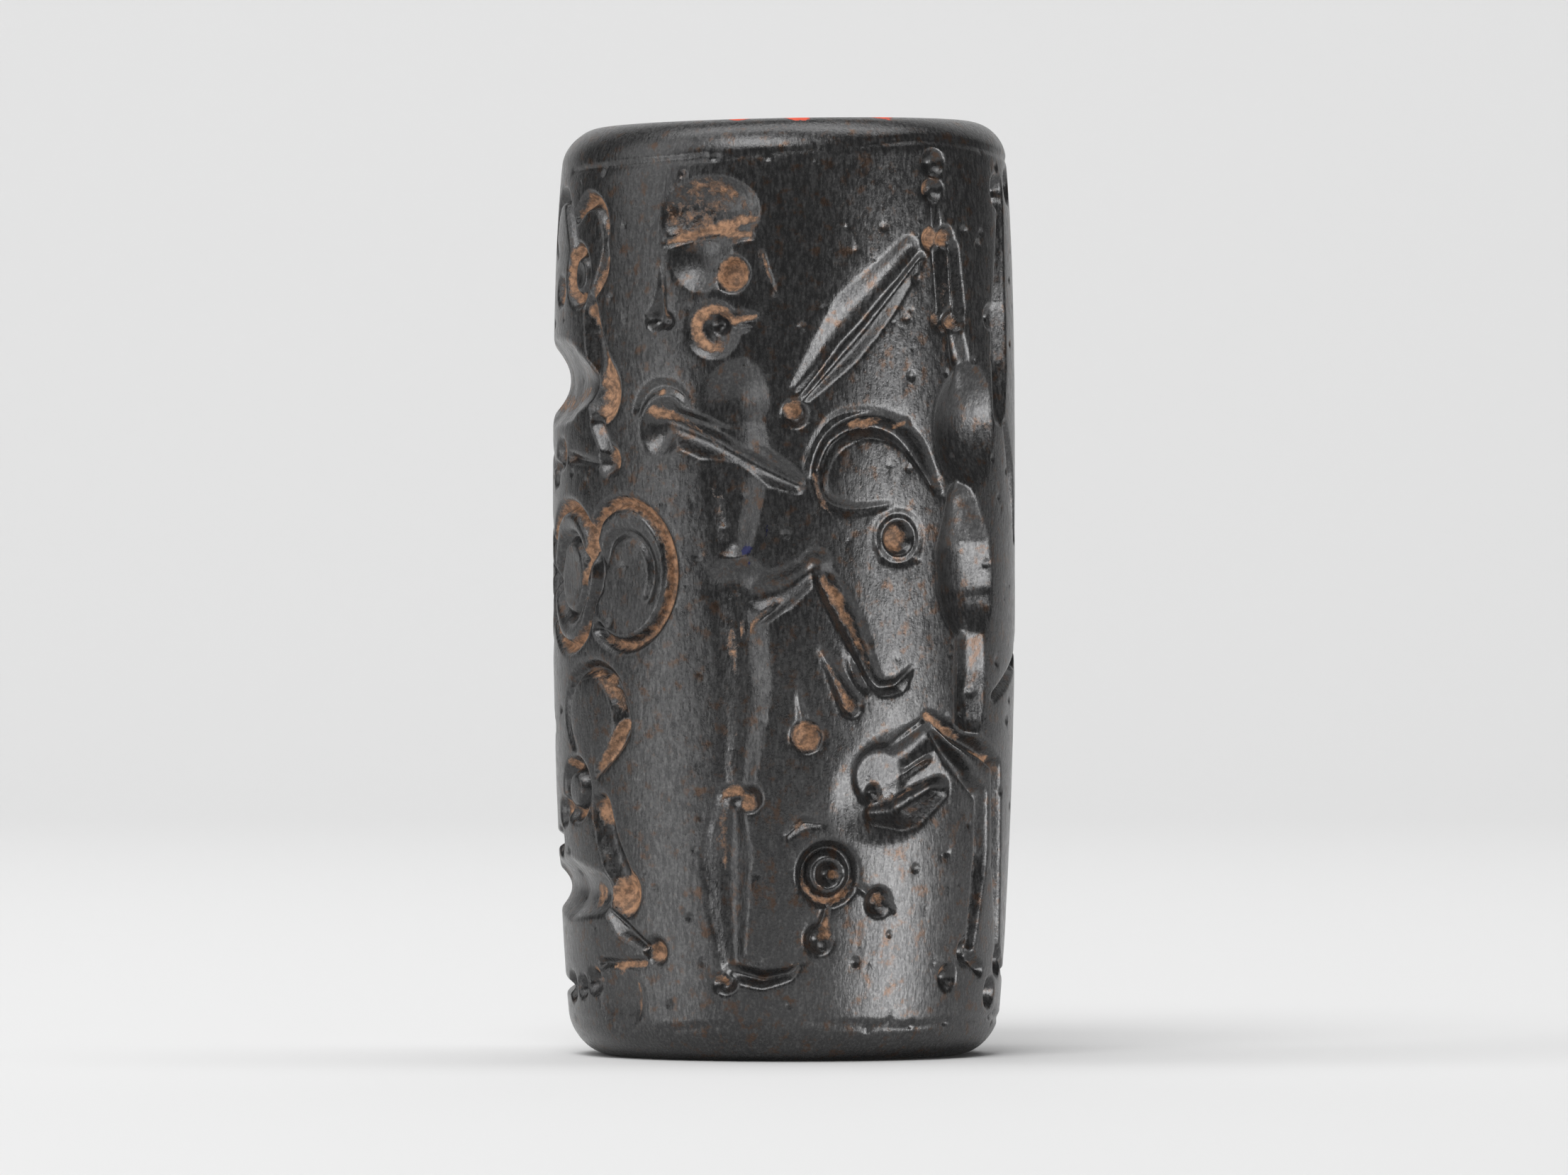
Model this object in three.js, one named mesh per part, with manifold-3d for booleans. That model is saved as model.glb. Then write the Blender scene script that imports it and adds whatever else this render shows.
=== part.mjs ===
// A cylinder seal of dark stone: a bored, slightly barrelled drum, carved all round with two heroes,
// a lion held head down, winged beasts, goats and a guilloche.
// Millimetres, +Z up. The seal stands on its base at the origin, with its front toward -Y.
// A place on the drum is [along, up]: along runs round the girth, to the right as seen from outside,
// and is 0 at the front. The girth's back is at plus or minus half of it.
import * as THREE from 'three';
import { mergeVertices } from 'three/addons/utils/BufferGeometryUtils.js';
import Module from 'manifold-3d';

const wasm = await Module();
wasm.setup();

// ---- driving sizes
const height = 25;
const radius = 6.2;
const girth = 2 * Math.PI * radius;
const boreRadius = 1.35;
const boreFlare = 0.25;
const topRound = 1.1;
const baseRound = 1.25;
const topNarrowing = 0.34;
const baseNarrowing = 0.5;
const topSlope = 0.0186;
const slopeStart = 21;
const drumSides = 36;

// ---- meshes and solids

function solidFrom(geometry) {
  const plain = geometry.clone();
  plain.deleteAttribute('normal');
  plain.deleteAttribute('uv');
  const welded = mergeVertices(plain, 1e-5);
  return new wasm.Manifold(new wasm.Mesh({
    numProp: 3,
    vertProperties: new Float32Array(welded.attributes.position.array),
    triVerts: new Uint32Array(welded.index.array),
  }));
}

function geometryFrom(solid) {
  const mesh = solid.getMesh();
  const geometry = new THREE.BufferGeometry();
  geometry.setAttribute('position', new THREE.BufferAttribute(mesh.vertProperties, 3));
  geometry.setIndex(new THREE.BufferAttribute(mesh.triVerts, 1));
  const flat = geometry.toNonIndexed();
  flat.computeVertexNormals();
  return flat;
}

// A closed skin over rings of points, all of one length. Its two end rings are filled in,
// or joined to each other when it closes on itself.
function loft(rings, closes = false) {
  const sides = rings[0].length;
  const points = rings.flat().flatMap((point) => [point.x, point.y, point.z]);
  const faces = [];
  const spans = closes ? rings.length : rings.length - 1;
  for (let ring = 0; ring < spans; ring += 1) {
    const here = ring * sides;
    const next = ((ring + 1) % rings.length) * sides;
    for (let side = 0; side < sides; side += 1) {
      const across = (side + 1) % sides;
      faces.push(here + side, here + across, next + across);
      faces.push(here + side, next + across, next + side);
    }
  }
  const last = (rings.length - 1) * sides;
  for (let side = 1; side < sides - 1 && !closes; side += 1) {
    faces.push(0, side + 1, side);
    faces.push(last, last + side, last + side + 1);
  }
  const geometry = new THREE.BufferGeometry();
  geometry.setAttribute('position', new THREE.Float32BufferAttribute(points, 3));
  geometry.setIndex(faces);
  return geometry;
}

// ---- the drum

// The drum swells at its middle, and tapers more to its foot than to its top.
function drumRadius(up) {
  const off = (up - height / 2) / (height / 2);
  return radius - (off > 0 ? topNarrowing * off ** 4 : baseNarrowing * off ** 2);
}

// The top end slopes: it stands a little higher on the right.
function sloped(x, up) {
  const share = Math.max(0, (up - slopeStart) / (height - slopeStart));
  return up + share * topSlope * (x - radius);
}

function drum() {
  const outline = [new THREE.Vector2(boreRadius, boreFlare)];
  outline.push(new THREE.Vector2(boreRadius + boreFlare, 0));
  const roundSteps = 2;
  for (let step = 0; step <= roundSteps; step += 1) {
    const turn = (step / roundSteps) * Math.PI / 2;
    const out = drumRadius(baseRound) - baseRound * (1 - Math.sin(turn));
    outline.push(new THREE.Vector2(out, baseRound * (1 - Math.cos(turn))));
  }
  for (const up of [4, 8, 14, 21]) {
    outline.push(new THREE.Vector2(drumRadius(up), up));
  }
  for (let step = roundSteps; step >= 0; step -= 1) {
    const turn = (step / roundSteps) * Math.PI / 2;
    const out = drumRadius(height - topRound) - topRound * (1 - Math.sin(turn));
    outline.push(new THREE.Vector2(out, height - topRound * (1 - Math.cos(turn))));
  }
  outline.push(new THREE.Vector2(boreRadius + boreFlare, height));
  outline.push(new THREE.Vector2(boreRadius, height - boreFlare));
  outline.push(outline[0].clone());
  const geometry = new THREE.LatheGeometry(outline, drumSides);
  geometry.rotateX(Math.PI / 2);
  const places = geometry.attributes.position;
  for (let point = 0; point < places.count; point += 1) {
    places.setZ(point, sloped(places.getX(point), places.getZ(point)));
  }
  return solidFrom(geometry);
}

// ---- the carver's cuts. Each is a closed tool that reaches from just above the drum's face
// down to its depth, and all of them are taken from the drum together.

const cuts = [];

function onDrum(along, up, deep) {
  const turn = along / radius;
  const out = drumRadius(up) - deep;
  return new THREE.Vector3(out * Math.sin(turn), -out * Math.cos(turn), up);
}

// How far a tool of this half width must stand out, so that its flat top clears the round drum.
function clearance(half) {
  return 0.06 + half ** 2 / (2 * radius);
}

// One ring of a tool for a round or oval hole, spread and sunk in shares of its size and depth.
function holeRing([along, up], [long, wide], tilt, sides, out, deep) {
  const lean = THREE.MathUtils.degToRad(tilt);
  const points = [];
  for (let side = 0; side < sides; side += 1) {
    const turn = (side / sides) * 2 * Math.PI;
    const x = long * out * Math.cos(turn);
    const y = wide * out * Math.sin(turn);
    const across = x * Math.cos(lean) - y * Math.sin(lean);
    const rise = x * Math.sin(lean) + y * Math.cos(lean);
    points.push(onDrum(along + across, up + rise, deep));
  }
  return points;
}

function sidesFor(size) {
  if (size > 0.9) return 10;
  return size > 0.55 ? 8 : 6;
}

// A bowl: centre, [half length, half width] or one radius, depth, and how far its length is turned.
function hollow(centre, size, deep, tilt = 0) {
  const halves = [size, size].flat().slice(-2);
  const half = Math.max(...halves);
  const sides = sidesFor(half);
  const wall = half > 0.9 ? [[0.42, 0.92], [0.8, 0.48]] : [[0.6, 0.88]];
  const [edgeOut, edgeSunk] = wall[wall.length - 1];
  const stand = clearance(half);
  const topOut = 1 + (1 - edgeOut) * stand / (edgeSunk * deep);
  const levels = [...wall.map(([out, sunk]) => [out, sunk * deep]), [topOut, -stand]];
  const rings = levels.map(([out, sunk]) => holeRing(centre, halves, tilt, sides, out, sunk));
  cuts.push(solidFrom(loft(rings)));
}

// A flat-bottomed drill hole.
function disc(centre, size, deep) {
  const stand = clearance(size);
  const levels = [[0.78, deep], [1 + 0.22 * stand / deep, -stand]];
  const rings = levels.map(([out, sunk]) => holeRing(centre, [size, size], 0, sidesFor(size), out, sunk));
  cuts.push(solidFrom(loft(rings)));
}

// The cut across a groove that is narrow, with a single keel, or wide, with a flat floor.
function sectionAt(isWide, [along, up], [acrossX, acrossY], half, deep) {
  const stand = clearance(half) + 0.13;
  const floor = isWide ? 0.45 : 0;
  const top = half * (1 + (1 - floor) * stand / deep);
  const section = [[-top, -stand], [-half * floor, deep], [half * floor, deep], [top, -stand]];
  const corners = isWide ? section : section.filter((corner, index) => index !== 2);
  return corners.map(([off, sunk]) => onDrum(along + acrossX * off, up + acrossY * off, sunk));
}

// A tube-drilled ring: the radius is to the middle of its groove.
function ring([along, up], size, width, deep) {
  const [wide, tall] = [size, size].flat().slice(-2);
  const steps = 10;
  const stations = [];
  for (let step = 0; step < steps; step += 1) {
    const turn = (step / steps) * 2 * Math.PI;
    const place = [along + wide * Math.cos(turn), up + tall * Math.sin(turn)];
    const across = [-Math.cos(turn), -Math.sin(turn)];
    stations.push(sectionAt(false, place, across, width / 2, deep));
  }
  cuts.push(solidFrom(loft(stations, true)));
}

// A value at a share of the way along an evenly spread list.
function spread(values, share) {
  const list = [values].flat();
  const place = share * (list.length - 1);
  const start = Math.min(Math.floor(place), list.length - 1);
  const end = Math.min(start + 1, list.length - 1);
  return THREE.MathUtils.lerp(list[start], list[end], place - start);
}

// Points put in where a groove runs far round the drum, so that it follows the drum's curve.
function bent(points, longest = 2.6) {
  const result = [points[0]];
  for (let point = 1; point < points.length; point += 1) {
    const [x0, y0] = points[point - 1];
    const [x1, y1] = points[point];
    const parts = Math.ceil(Math.abs(x1 - x0) / longest) || 1;
    for (let step = 1; step <= parts; step += 1) {
      result.push([x0 + (x1 - x0) * step / parts, y0 + (y1 - y0) * step / parts]);
    }
  }
  return result;
}

// A groove through points. Its whole widths and its depths are each one value or a list spread
// evenly from its start to its end, and its ends are rounded.
function groove(route, widths, depths) {
  const points = bent(route);
  const lengths = [0];
  for (let point = 1; point < points.length; point += 1) {
    const [x, y] = points[point];
    lengths.push(lengths[point - 1] + Math.hypot(x - points[point - 1][0], y - points[point - 1][1]));
  }
  const whole = lengths[lengths.length - 1];
  const isWide = Math.max(...[widths].flat()) > 1.2;
  const stations = points.map((place, point) => {
    const before = points[Math.max(point - 1, 0)];
    const after = points[Math.min(point + 1, points.length - 1)];
    const run = Math.hypot(after[0] - before[0], after[1] - before[1]);
    const ahead = [(after[0] - before[0]) / run, (after[1] - before[1]) / run];
    const share = lengths[point] / whole;
    return { place, ahead, half: spread(widths, share) / 2, deep: spread(depths, share) };
  });
  const first = stations[0];
  const last = stations[stations.length - 1];
  const rounded = [[first, -1], [last, 1]].map(([{ place, ahead, half, deep }, way]) => ({
    place: [place[0] + way * ahead[0] * half * 0.7, place[1] + way * ahead[1] * half * 0.7],
    ahead,
    half: half * 0.6,
    deep: deep * 0.5,
  }));
  const allStations = isWide ? [rounded[0], ...stations, rounded[1]] : stations;
  const rings = allStations.map(({ place, ahead, half, deep }) => (
    sectionAt(isWide, place, [-ahead[1], ahead[0]], half, deep)));
  cuts.push(solidFrom(loft(rings)));
}

// Points on a round or oval arc, in degrees anticlockwise from the right.
function arc([along, up], size, start, end) {
  const [wide, tall] = [size, size].flat().slice(-2);
  const steps = Math.max(3, Math.round(Math.abs(end - start) / 42));
  const points = [];
  for (let step = 0; step <= steps; step += 1) {
    const turn = THREE.MathUtils.degToRad(THREE.MathUtils.lerp(start, end, step / steps));
    points.push([along + wide * Math.cos(turn), up + tall * Math.sin(turn)]);
  }
  return points;
}

// A smooth curve through a few points.
function flowing(points, steps = 8) {
  const knots = points.map(([x, y]) => new THREE.Vector3(x, y, 0));
  const curve = new THREE.CatmullRomCurve3(knots, false, 'centripetal');
  return curve.getPoints(steps).map((point) => [point.x, point.y]);
}

// A small drill ball at each [along, up, radius].
function balls(places, deep = 0.38) {
  for (const [along, up, size] of places) {
    hollow([along, up], size, deep);
  }
}

// ---- the scene, from the front round to the right

function spearman() {
  const shoulder = [-1.3, 17.5];
  const waist = [-1.35, 13.75];
  const elbow = [-3.38, 16.8];
  const hand = [0.35, 15.2];
  const hip = [-1.25, 12.55];
  const knee = [-1.2, 6.97];
  const ankle = [-1.45, 2.5];
  const raisedKnee = [0.87, 13.05];
  const raisedFoot = [2.45, 10.05];
  hollow([-2.05, 22.4], [1.42, 0.96], 0.48, 4);
  hollow([-2.2, 21.1], [0.86, 0.82], 0.38);
  disc([-1.4, 20.74], 0.48, 0.42);
  disc([-1.92, 19.27], 0.72, 0.32);
  groove([[-3.42, 20.6], [-3.5, 19.7]], [0.1, 0.34], [0.08, 0.3]);
  balls([[-3.5, 19.5, 0.36], [0.3, 17.05, 0.35]], 0.34);
  groove([shoulder, [-1.25, 15.6], waist], [1.5, 1.7, 0.9], [0.34, 0.34, 0.3]);
  groove([elbow, [-1.9, 16.3], hand], [1.15, 0.9, 0.45], [0.45, 0.48, 0.25]);
  groove([[0.45, 17.6], [2.2, 19.55], [3.8, 21.3]], [0.4, 1, 0.45], [0.18, 0.32, 0.16]);
  hollow(hip, [0.85, 0.78], 0.36);
  groove([[-1.1, 12.2], raisedKnee], [1.1, 0.7], [0.34, 0.3]);
  groove([[-1.35, 11.1], [0.5, 12.5]], [0.2, 0.34], [0.15, 0.26]);
  groove([[-1.15, 11.9], [-1, 9.8], knee], [1.25, 1.25, 0.8], [0.3, 0.26, 0.26]);
  hollow(knee, [0.54, 0.42], 0.42);
  groove([[-1.45, 6.6], [-1.6, 5.2], ankle], [0.6, 1.25, 0.65], [0.32, 0.36, 0.24]);
  groove([[-1.6, 2.35], [-0.6, 2.2], [0.45, 2.62]], [0.45, 0.46, 0.16], [0.34, 0.36, 0.12]);
  hollow(raisedKnee, 0.45, 0.34);
  groove([raisedKnee, [1.75, 11.5], raisedFoot], [0.6, 0.62, 0.4], [0.34, 0.38, 0.28]);
  groove([raisedFoot, [2.9, 9.85], [3.6, 10.35]], [0.34, 0.36, 0.12], [0.28, 0.26, 0.1]);
  groove([[0.95, 10.9], [1.8, 9.4]], [0.12, 0.58], [0.08, 0.34]);
  disc([0.6, 8.58], 0.44, 0.32);
}

function starInFront() {
  const star = [1.2, 4.95];
  ring(star, 0.68, 0.36, 0.32);
  hollow(star, 0.32, 0.38);
  balls([[0.97, 3.3, 0.42], [2.67, 4.22, 0.4]]);
}

function heldLion() {
  const haunch = [5.6, 16.75];
  balls([[4.48, 23.72, 0.4], [4.4, 23.02, 0.36], [4.33, 21.72, 0.35], [4.83, 21.75, 0.28]], 0.34);
  groove([[4.6, 21.4], [4.72, 19.8]], 0.48, 0.36);
  groove([[5.12, 21.5], [5.3, 19.85]], [0.3, 0.42], 0.3);
  hollow([4.86, 19.55], [0.62, 0.38], 0.4);
  groove([[5.15, 19.2], [5.45, 18.1], haunch], [0.6, 0.9, 2], [0.26, 0.36, 0.48]);
  hollow(haunch, [1.6, 1.22], 0.54, 84);
  groove([[5.4, 14.7], [5.6, 13], [5.7, 11.3]], [1.2, 2.3, 1.3], [0.36, 0.54, 0.36]);
  groove([[5.72, 11.3], [5.74, 9.2]], [1.25, 1.2], 0.36);
  const tail = [[4.4, 15.1], [3.4, 16.4], [2.2, 16.75], [1.2, 16.2], [0.95, 15.3], [1.4, 14.65], [2.6, 14.6]];
  groove(flowing(tail, 9), [0.24, 0.56, 0.56, 0.4, 0.14], [0.2, 0.4, 0.36, 0.26, 0.1]);
  disc([3.16, 13.8], 0.46, 0.34);
  hollow([3.1, 7.3], [1.9, 1.3], 0.42, 28);
  hollow([3.4, 6.85], [1.35, 0.66], 0.66, 26);
  groove([[4.1, 9.1], [5, 8.05], [6.25, 7.1]], [0.34, 0.54, 0.46], [0.26, 0.44, 0.4]);
  groove([[6.4, 6.9], [6.5, 5.3], [6.2, 3.1]], [0.6, 0.66, 0.38], [0.36, 0.36, 0.24]);
  groove([[4.4, 9.05], [5.6, 8.45], [7.1, 7.95]], [0.26, 0.48, 0.42], [0.26, 0.42, 0.36]);
  groove([[7.3, 7.7], [7.6, 5.2], [8.1, 2.95]], [0.58, 0.62, 0.38], [0.4, 0.4, 0.26]);
  balls([[5.9, 2.8, 0.36], [5.15, 2.2, 0.36], [8.15, 2.55, 0.42], [7.65, 1.72, 0.4]], 0.34);
}

function liftedLeg() {
  balls([[7.62, 23.05, 0.46], [8.88, 23.22, 0.48], [6.78, 19.65, 0.3]]);
  groove([[7.8, 22.7], [7.5, 20.3], [7.45, 17.3]], [0.4, 0.85, 0.95], [0.35, 0.42, 0.3]);
}

function crossedBlades() {
  groove([[7.75, 16.8], [8.45, 15.3], [9.1, 13.7]], [0.2, 0.58, 0.25], [0.2, 0.42, 0.25]);
  hollow([11, 16.3], 0.46, 0.42);
  groove([[10.95, 16.15], [9.4, 14]], [0.8, 0.4], [0.4, 0.22]);
}

function swordsman() {
  const shoulder = [13.05, 16.6];
  const waist = [12.95, 13.5];
  const belly = [13.15, 10.2];
  const elbow = [15.2, 16.1];
  const wrist = [12.1, 13.9];
  const leftKnee = [11.2, 5.9];
  const rightKnee = [13.95, 6.02];
  const leftHeel = [10.55, 2.25];
  const rightHeel = [15.3, 2.4];
  hollow([13.4, 22.4], [1.32, 1.05], 0.58);
  groove([[11.75, 22.2], [13.2, 21.75]], [0.14, 1], [0.12, 0.45]);
  disc([12.82, 20.28], 0.54, 0.45);
  groove([[14.38, 20.6], [14.28, 18.9]], [0.24, 0.32], 0.3);
  hollow([14.45, 18.62], 0.34, 0.34);
  hollow([12.95, 18.72], [0.82, 0.62], 0.46);
  groove([[13.2, 18.2], [13.2, 17.2]], [0.66, 0.7], 0.35);
  hollow(shoulder, [1.05, 1], 0.55);
  groove([shoulder, waist, [13.35, 12.4]], [1.8, 1.15, 1.5], [0.55, 0.42, 0.22]);
  groove([elbow, [13.5, 15], wrist], [0.7, 0.8, 0.6], [0.45, 0.6, 0.5]);
  groove([wrist, [10.4, 12.25]], [0.55, 0.3], [0.48, 0.2]);
  hollow(belly, [1.25, 1.2], 0.66);
  balls([[10.88, 10.95, 0.46], [9.55, 10.72, 0.45]]);
  groove([[9.1, 10.5], [7, 9.6]], [0.42, 0.2], 0.3);
  groove([[11.2, 9], [11.75, 7.4], leftKnee], [0.3, 0.9, 0.5], [0.25, 0.45, 0.35]);
  groove([[13.6, 9], [14.2, 7.5], rightKnee], [0.6, 0.95, 0.6], [0.3, 0.45, 0.4]);
  hollow(leftKnee, [0.56, 0.47], 0.48);
  hollow(rightKnee, 0.5, 0.48);
  groove([[11.3, 5], [11.1, 4.1], leftHeel], [0.95, 0.8, 0.45], [0.45, 0.4, 0.35]);
  groove([[14.4, 5.4], [14.65, 4.4], rightHeel], [1.05, 0.95, 0.5], [0.45, 0.45, 0.35]);
  groove([leftHeel, [9.4, 2.12], [8.65, 2.5]], [0.4, 0.3, 0.14], [0.4, 0.28, 0.12]);
  groove([rightHeel, [13.9, 1.95], [12.65, 2.15]], [0.4, 0.28, 0.14], [0.4, 0.28, 0.12]);
}

function griffin() {
  const haunch = [18.2, 17.05];
  const chest = [24.6, 18.05];
  const head = [25.25, 21.05];
  disc(head, 1.02, 0.4);
  groove([[24.6, 21.95], [23.95, 22.6]], [0.3, 0.75], [0.2, 0.32]);
  groove([[25, 22.1], [24.78, 22.95]], [0.3, 0.85], [0.2, 0.3]);
  groove([[25.8, 22], [26.1, 22.9]], [0.3, 0.95], [0.2, 0.3]);
  groove([[26.1, 21.1], [26.8, 21.22]], [0.42, 0.2], 0.25);
  groove([[26.9, 21.35], [27.25, 21.12], [27.55, 20.8]], [0.16, 0.34, 0.16], 0.24);
  groove([head, chest], [0.8, 0.85], 0.3);
  disc(chest, 0.98, 0.42);
  groove([chest, [24.65, 16]], [0.95, 0.6], 0.36);
  groove([[24.5, 15.92], [26.2, 15.9], [28.05, 15.38]], [0.5, 0.46, 0.25], [0.4, 0.36, 0.22]);
  groove([[19, 17.6], [21.5, 17.35], [23.8, 17.65]], [1.1, 1.7, 1.1], 0.5);
  disc(haunch, 1.02, 0.52);
  groove([[17.25, 15.25], [19.2, 15.52], [21, 15.27]], [0.35, 0.5, 0.3], 0.36);
  balls([[16.85, 15, 0.36], [21.5, 15, 0.4], [28.5, 14.98, 0.42]], 0.24);
  const tail = [[18.5, 17.8], [16.6, 18.6], [15.55, 19.7], [15.6, 20.7], [16.6, 21.25], [17.95, 20.95]];
  groove(flowing(tail, 9), [0.5, 0.46, 0.46, 0.3], [0.4, 0.38, 0.38, 0.2]);
  hollow([18.25, 19.92], 0.43, 0.38);
  groove([[23.75, 19.12], [21.1, 21.15], [18.3, 23.02]], [0.3, 0.55, 0.14], [0.3, 0.4, 0.12]);
  groove([[23.05, 18.5], [20.6, 20.75], [18.35, 22.28]], [0.3, 0.36, 0.14], [0.3, 0.28, 0.1]);
}

function upperGoat() {
  const chest = [-5.52, 17.65];
  const head = [-6.9, 20.8];
  disc([27.95, 18.05], 1, 0.54);
  const trunk = [[28.5, 18.1], [29.9, 17.98], [31.4, 17.95], [32.8, 17.9]];
  groove(trunk, [1.4, 2.1, 2.1, 1.2], [0.4, 0.54, 0.54, 0.32]);
  groove([[-6.15, 19.8], chest], [0.6, 1.2], 0.4);
  hollow(chest, [0.88, 0.72], 0.46, 92);
  ring(head, [0.52, 0.66], 0.38, 0.34);
  const rightHorn = [[-7.05, 22.35], [-6.3, 22.9], [-5.55, 22.4], [-5.5, 21.4], [-6, 20.3]];
  groove(flowing(rightHorn, 7), [0.34, 0.44, 0.26, 0.3, 0.22], [0.3, 0.34, 0.2, 0.22, 0.16]);
  const leftHorn = [[-7.1, 21.3], [-7.7, 22.5], [-8.35, 23], [-9.1, 22.7], [-9.25, 21.9], [-8.75, 21.4]];
  groove(flowing(leftHorn, 7), [0.4, 0.42, 0.36, 0.14], [0.35, 0.34, 0.3, 0.12]);
  balls([[-8.2, 20.4, 0.4], [-5.22, 15.87, 0.42], [-7.95, 16.05, 0.42], [30.47, 15.52, 0.37]], 0.34);
  groove([[27.25, 16.7], [28.5, 16.5], [29.95, 15.78]], [0.3, 0.46, 0.22], 0.34);
}

// The guilloche: pairs of strands that go over one loop and under the loop to its left.
function guilloche() {
  const loops = [
    [-4.75, 12.85], [-7.35, 12.8], [-10.45, 12.6],
    [-13.85, 12.85], [-18.2, 12.4], [-22.35, 11.5],
  ];
  const outer = [1.6, 1.88];
  const inner = [0.95, 1.05];
  const strandWidth = 0.36;
  const strandDepth = 0.32;
  const strand = (over, overSize, under, underSize, start) => groove(
    [...arc(over, overSize, start, 130), ...arc(under, underSize, -50, -180)], strandWidth, strandDepth);
  for (let loop = 0; loop < loops.length - 1; loop += 1) {
    const start = loop === 0 ? -125 : 0;
    strand(loops[loop], outer, loops[loop + 1], inner, start);
    strand(loops[loop], inner, loops[loop + 1], outer, loop === 0 ? -40 : 0);
  }
  const last = loops[loops.length - 1];
  groove(arc(last, outer, 20, 165), strandWidth, strandDepth);
  groove(arc(last, inner, 0, 180), strandWidth, strandDepth);
}

function lowerGoat() {
  const chest = [-4.85, 4.45];
  ring([-7.1, 7.15], 0.68, 0.4, 0.36);
  hollow([-8.1, 6.5], 0.4, 0.36);
  const horn = [[-6.9, 8.1], [-7.5, 9.1], [-6.95, 10.1], [-6, 10.35], [-5.1, 9.9], [-4.75, 8.9], [-5.8, 7.65]];
  groove(flowing(horn, 9), [0.14, 0.26, 0.44, 0.54, 0.34], [0.1, 0.22, 0.36, 0.36, 0.22]);
  groove([[-5.75, 6.6], chest], [0.85, 1], 0.4);
  hollow(chest, 0.66, 0.46);
  groove([[29.3, 4.6], [31.3, 4.5], [33, 4.4]], [1.25, 1.6, 1.2], [0.36, 0.54, 0.38]);
  disc([28.2, 4.15], 1, 0.55);
  groove([[27.8, 3.2], [27.9, 2.1]], [0.9, 0.6], 0.38);
  groove([[28.1, 1.95], [30.35, 1.85]], [0.36, 0.24], 0.3);
  balls([[30.85, 1.87, 0.42], [31.75, 1.9, 0.3], [-6.5, 2.05, 0.36], [-3.8, 2.9, 0.38]], 0.34);
  groove([[-5.6, 3.95], [-4.2, 3.08]], [0.42, 0.3], 0.33);
  groove([[-6, 2.5], [-4.2, 2.58]], [0.3, 0.2], 0.24);
}

function starBehind() {
  const star = [27.85, 8.9];
  ring(star, 0.76, 0.24, 0.28);
  balls([[26.65, 9.8, 0.37], [29.45, 8.75, 0.38], [28.15, 7.5, 0.26]], 0.32);
}

function lowerLion() {
  const haunch = [18.5, 4.95];
  const shoulder = [24.1, 6.7];
  hollow([25.9, 8], [1.5, 1.1], 0.5, 105);
  groove([shoulder, [25.5, 4.8]], [0.75, 0.6], 0.42);
  groove([[25.7, 4.6], [27.15, 5.45], [29.85, 5.8]], [0.4, 0.4, 0.3], 0.36);
  groove([[19.2, 5.55], [21.8, 5.5], [24.1, 5.6]], [1.5, 1.85, 1.5], [0.5, 0.58, 0.42]);
  hollow(haunch, [1.3, 1.35], 0.66);
  const tail = [[18, 5.4], [16.3, 6.15], [15.25, 7.2], [15.35, 8.2], [16.4, 8.95], [17.7, 8.95], [18.3, 8.3]];
  groove(flowing(tail, 9), [0.5, 0.46, 0.5, 0.46, 0.26], [0.4, 0.36, 0.4, 0.4, 0.2]);
  hollow([18.58, 7.25], 0.47, 0.38);
  hollow([18.4, 1.92], 0.52, 0.4);
  groove([[18.9, 2.15], [21.3, 2.5]], [0.36, 0.28], 0.3);
  groove([[24.7, 4.5], [25.2, 2.3]], [0.9, 0.45], [0.42, 0.35]);
  balls([[30.25, 5.7, 0.42], [21.85, 2.48, 0.46], [22.45, 1.82, 0.4]], 0.34);
  balls([[25.5, 1.9, 0.37], [26.2, 1.68, 0.36]], 0.34);
}

function smallHead() {
  hollow([21.45, 8.2], [1, 1.1], 0.5);
}

// ---- the part

spearman();
starInFront();
heldLion();
liftedLeg();
crossedBlades();
swordsman();
griffin();
upperGoat();
guilloche();
lowerGoat();
starBehind();
lowerLion();
smallHead();

const stone = new THREE.MeshStandardMaterial({ color: 0x3c3d40, roughness: 0.32, metalness: 0.45 });
// A crumb cut loose between two grooves falls away, so the largest body is the seal.
const bodies = drum().subtract(wasm.Manifold.union(cuts)).decompose();
bodies.sort((one, other) => other.volume() - one.volume());
const seal = new THREE.Mesh(geometryFrom(bodies[0]), stone);
seal.name = 'seal';

const part = new THREE.Group();
part.add(seal);

export default part;
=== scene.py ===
# A cylinder seal: one small drum of dark stone, bored to hang on a cord and carved all round.
import math

import bpy
import mathutils
import numpy as np
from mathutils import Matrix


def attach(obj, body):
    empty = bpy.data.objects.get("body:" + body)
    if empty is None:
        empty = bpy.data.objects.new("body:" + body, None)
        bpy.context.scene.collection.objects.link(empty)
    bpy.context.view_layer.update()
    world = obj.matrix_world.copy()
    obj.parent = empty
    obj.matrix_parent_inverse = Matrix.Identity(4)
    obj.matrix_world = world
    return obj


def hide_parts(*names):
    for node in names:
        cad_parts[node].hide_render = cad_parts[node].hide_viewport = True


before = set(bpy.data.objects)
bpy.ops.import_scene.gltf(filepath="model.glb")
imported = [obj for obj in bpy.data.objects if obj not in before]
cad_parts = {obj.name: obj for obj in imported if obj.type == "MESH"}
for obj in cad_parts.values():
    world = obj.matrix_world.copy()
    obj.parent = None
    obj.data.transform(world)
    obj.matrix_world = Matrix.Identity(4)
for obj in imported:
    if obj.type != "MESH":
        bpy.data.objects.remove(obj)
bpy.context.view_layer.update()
MM = 0.001


# ==== The drum ====
# The blank is a pebble of hematite, ground to a drum, bored from both ends and polished.
# Its rims are worn round, and its top end slopes a little. Here it is turned from its outline,
# which a Geometry Nodes tree sweeps round the bore.

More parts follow.
